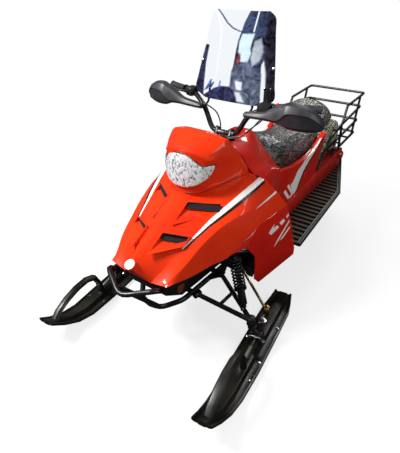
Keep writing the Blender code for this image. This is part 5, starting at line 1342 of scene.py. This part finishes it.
# Painted reflections: colour, weight, half the soft edge in pixels and outline of each zone; later
# ones lie over earlier ones
PAINTED_REFLECTIONS = [
    ("3d4768", 0.97, 0.5, [(252, 9), (248.3, 15.6), (244.6, 23), (241.8, 31.6), (238.5, 39.4), (236, 50.9),
                           (233.5, 64.1), (231.5, 74), (229.6, 86), (233, 104), (259, 110), (261, 66),
                           (264, 60), (266, 72), (264.5, 110), (285, 110), (285, 5)]),
    ("2d2937", 0.98, 1.5, [(268, 18), (266, 40), (264.6, 60), (266, 74), (264.5, 110), (285, 110),
                           (285, 12)]),
    ("6a7690", 0.93, 1.0, [(231.5, 70), (238, 64), (247, 63), (252, 66), (261, 74), (259, 110), (229, 108),
                           (229.6, 86)]),
    ("b9c2cc", 0.8, 1.2, [(254.5, 41), (262, 38), (263.5, 52), (259, 62), (252, 66), (250.5, 58)]),
    ("d6eef6", 0.75, 0.6, [(242.6, 33.7), (255, 33.7), (252.4, 41), (250.2, 49.3), (251, 54), (247.5, 61.6),
                           (240, 62), (240.5, 54), (238.2, 53), (239.5, 42)]),
    ("c25a5c", 0.85, 0.7, [(236, 55.9), (240.9, 55), (239.3, 62), (235.8, 64.5)]),
    ("e3e9ee", 0.8, 0.7, [(234.8, 80.9), (241.8, 82.2), (241, 90.4), (236, 89.6)]),
    ("d5dce2", 0.8, 0.7, [(234.4, 92), (239.3, 92.9), (243.4, 102.5), (236.8, 101.2)]),
    ("eef1f6", 0.9, 0.4, [(259.3, 10), (260.6, 10), (254.6, 31.8), (253.3, 31.8)]),
    ("34365a", 0.95, 0.6, [(206.6, 43.5), (209.6, 44.4), (206, 62.4), (204, 82), (203.1, 98), (192, 98),
                           (199, 69.8), (202.3, 59.2)]),
    ("34375f", 0.95, 0.6, [(203, 94.6), (208.9, 91.2), (213.8, 87.9), (220.4, 85.9), (229.4, 86.7),
                           (232.7, 90.4), (237, 106), (203, 100)]),
    ("3d5fb4", 0.8, 0.5, [(204, 90), (211, 78.5), (212.4, 78.8), (208, 88.5)]),
    ("3d5fb4", 0.8, 0.5, [(209.5, 87), (213, 81.5), (214.3, 82), (211.5, 87.5)]),
    ("4a70c4", 0.7, 0.5, [(218, 86.5), (219.8, 80.2), (221, 80.6), (220, 86)]),
    ("3b4c86", 0.9, 0.45, [(218.4, 9.4), (222, 14.8), (227.3, 23.4), (233.2, 28.9), (241.6, 32.7),
                           (242, 31.4), (233.9, 27.6), (228.4, 22.4), (223.1, 14), (219.4, 8.8)]),
    ("d3dbe2", 0.8, 0.4, [(216.7, 9.4), (218.8, 16.4), (221.1, 27.1), (221.1, 37), (219.5, 51),
                          (217.5, 65.7), (215, 77.2), (215.9, 77.4), (218.5, 65.9), (220.5, 51.1),
                          (222.1, 37), (222.1, 27), (219.8, 16.2), (217.7, 9.2)]),
]


def depth_inside(u, v, outline):
    """Distance of a pixel from an outline's edge, positive inside it."""
    inside, nearest = False, 1e9
    for (a, b), (c, d) in zip(outline, outline[1:] + outline[:1]):
        if (b > v) != (d > v) and u < a + (v - b) * (c - a) / (d - b):
            inside = not inside
        t = max(0.0, min(1.0, ((u - a) * (c - a) + (v - b) * (d - b)) / ((c - a) ** 2 + (d - b) ** 2)))
        nearest = min(nearest, math.hypot(u - a - t * (c - a), v - b - t * (d - b)))
    return nearest if inside else -nearest


def pixel_of(point):
    """The pixel of the photograph at which the camera sees a point."""
    way = Vector(point) - CAMERA_PLACE
    far = way.dot(forward)
    return PICTURE[0] / 2 + focal * way.dot(right) / far, PICTURE[1] / 2 - focal * way.dot(up) / far


screen_rows = []
for z, y, middle, edge, edge_y in SCREEN_ROWS:
    half = spline([(0, y - 0.008, z), (middle * 0.6, y - 0.006, z), (middle, y, z), (edge, edge_y, z)], 15)
    screen_rows.append([Vector((-p.x, p.y, p.z)) for p in reversed(half[1:])] + half)
sheet = outward(new_piece("screen_sheet", *quads(net(screen_rows, 16))))
apply(sheet, "SOLIDIFY", thickness=SCREEN_WALL, offset=-1.0)
bpy.ops.object.shade_smooth_by_angle(angle=math.radians(40))
# Painted reflections: each point of the sheet takes the colour of the zones it lies in.
painted_reflection_tint = sheet.data.color_attributes.new("painted_reflection", "FLOAT_COLOR", "POINT")
for vert, tint in zip(sheet.data.vertices, painted_reflection_tint.data):
    u, v = pixel_of(vert.co)
    shade, cover = Vector((1, 1, 1)), 0.0
    for colour, weight, edge, outline in PAINTED_REFLECTIONS:
        hold = weight * max(0.0, min(1.0, 0.5 + depth_inside(u, v, outline) / (2 * edge)))
        shade = shade.lerp(Vector(linear(colour)[:3]), hold if cover > 0 or hold == 0 else 1.0)
        cover = max(cover, hold)
    tint.color = (*shade, cover)
# Clear sheet: almost nothing but a thin gleam, except in the zones, where the room's reflections are
# painted on as colour. The zones' painted clouding, about 45 mm wide, stands for the sheet's uneven
# reflections.
screen, tree, shader, place = start("polycarbonate sheet, clear, painted reflections", "f2f6fa", 0.03)
painted_reflection_seen = add(tree, "Attribute", {"attribute_name": "painted_reflection"})
painted_clouds = add(tree, "TexNoise", {"Scale": 22.0, "Detail": 6.0, "Roughness": 0.65, "Distortion": 1.6},
             {"Vector": place})
painted_cloud_tone = add(tree, "ValToRGB", {}, {"Fac": painted_clouds.outputs["Fac"]}, ((0.40, "4c4c4c"), (0.64, "ffffff")))
bright = add(tree, "RGBToBW", {}, {0: painted_reflection_seen.outputs["Color"]})
dull = add(tree, "MapRange", {"From Min": 0.1, "From Max": 0.5, "To Min": 1.0, "To Max": 0.15},
           {"Value": bright.outputs[0]})
painted_reflection_mottled = add(tree, "Mix", {"data_type": "RGBA", "blend_type": "MULTIPLY"}, {0: dull.outputs["Result"]})
tree.links.new(painted_reflection_seen.outputs["Color"], painted_reflection_mottled.inputs[6])
tree.links.new(painted_cloud_tone.outputs["Color"], painted_reflection_mottled.inputs[7])
painted_reflection_film = add(tree, "BsdfPrincipled", {"Roughness": 0.12, "Specular IOR Level": 0.25},
                {"Base Color": painted_reflection_mottled.outputs[2]})
clear_sheet = add(tree, "BsdfTransparent", {"Color": linear("fbfdff")})
gleam = add(tree, "BsdfGlossy", {"Color": linear("ffffff"), "Roughness": 0.03})
thin = add(tree, "MixShader", {0: 0.02}, {1: clear_sheet.outputs[0], 2: gleam.outputs[0]})
screen_mix = add(tree, "MixShader", {}, {0: painted_reflection_seen.outputs["Alpha"], 1: thin.outputs[0],
                                         2: painted_reflection_film.outputs[0]})
tree.links.new(screen_mix.outputs[0], tree.nodes["Material Output"].inputs["Surface"])
hand_in(sheet, screen, "bar", "clear_sheet", "windshield")
for word in ("left", "right"):
    hand_in(refined(f"screen_bracket_{word}", f"screen_stay_{word}", 0.0006, 50, 1), black_steel, "bar",
            "black_steel",
            f"screen_bracket_{word}")
strap = block("screen_strap", (0.192, -0.1445, 1.060), (0.034, 0.006, 0.085), 0.002, 0.35)
hand_in(strap, black_plastic, "bar", "black_plastic")
CLIP_WIRE = [(0.178, -0.1535, 1.098), (0.178, -0.1535, 1.106), (0.206, -0.1435, 1.106),
             (0.206, -0.1435, 1.098)]
clip = pipe("screen_clip", CLIP_WIRE, 0.0025, 8)
stem = rod("clip_stem", (0.194, -0.149, 1.030), (0.194, -0.149, 1.096), 0.0018, 12)
hand_in(joined("screen_clip", clip, stem), chrome, "bar", "zinc")
SCREEN_STUDS = [(-0.196, -0.1115, 1.183), (0.196, -0.1115, 1.183), (-0.125, -0.1555, 1.085),
                (0.125, -0.1555, 1.085)]
studs = [bolt(spot, (0, -1, 0.25), 0.005, 0.003) for spot in SCREEN_STUDS]
hand_in(joined("screen_screws", *studs), bolt_steel, "bar", "zinc")


# Screws. The pod and the shells are held by black screws, one each side of the pod, driven through
# the hood's rear shoulders.
screws = [bolt((x, -0.300, 0.7485), (x * 3, -0.2, 1.0), 0.006, 0.002) for x in (0.252, -0.252)]
hand_in(joined("shell_screws", *screws), black_steel, "chassis", "black_steel")
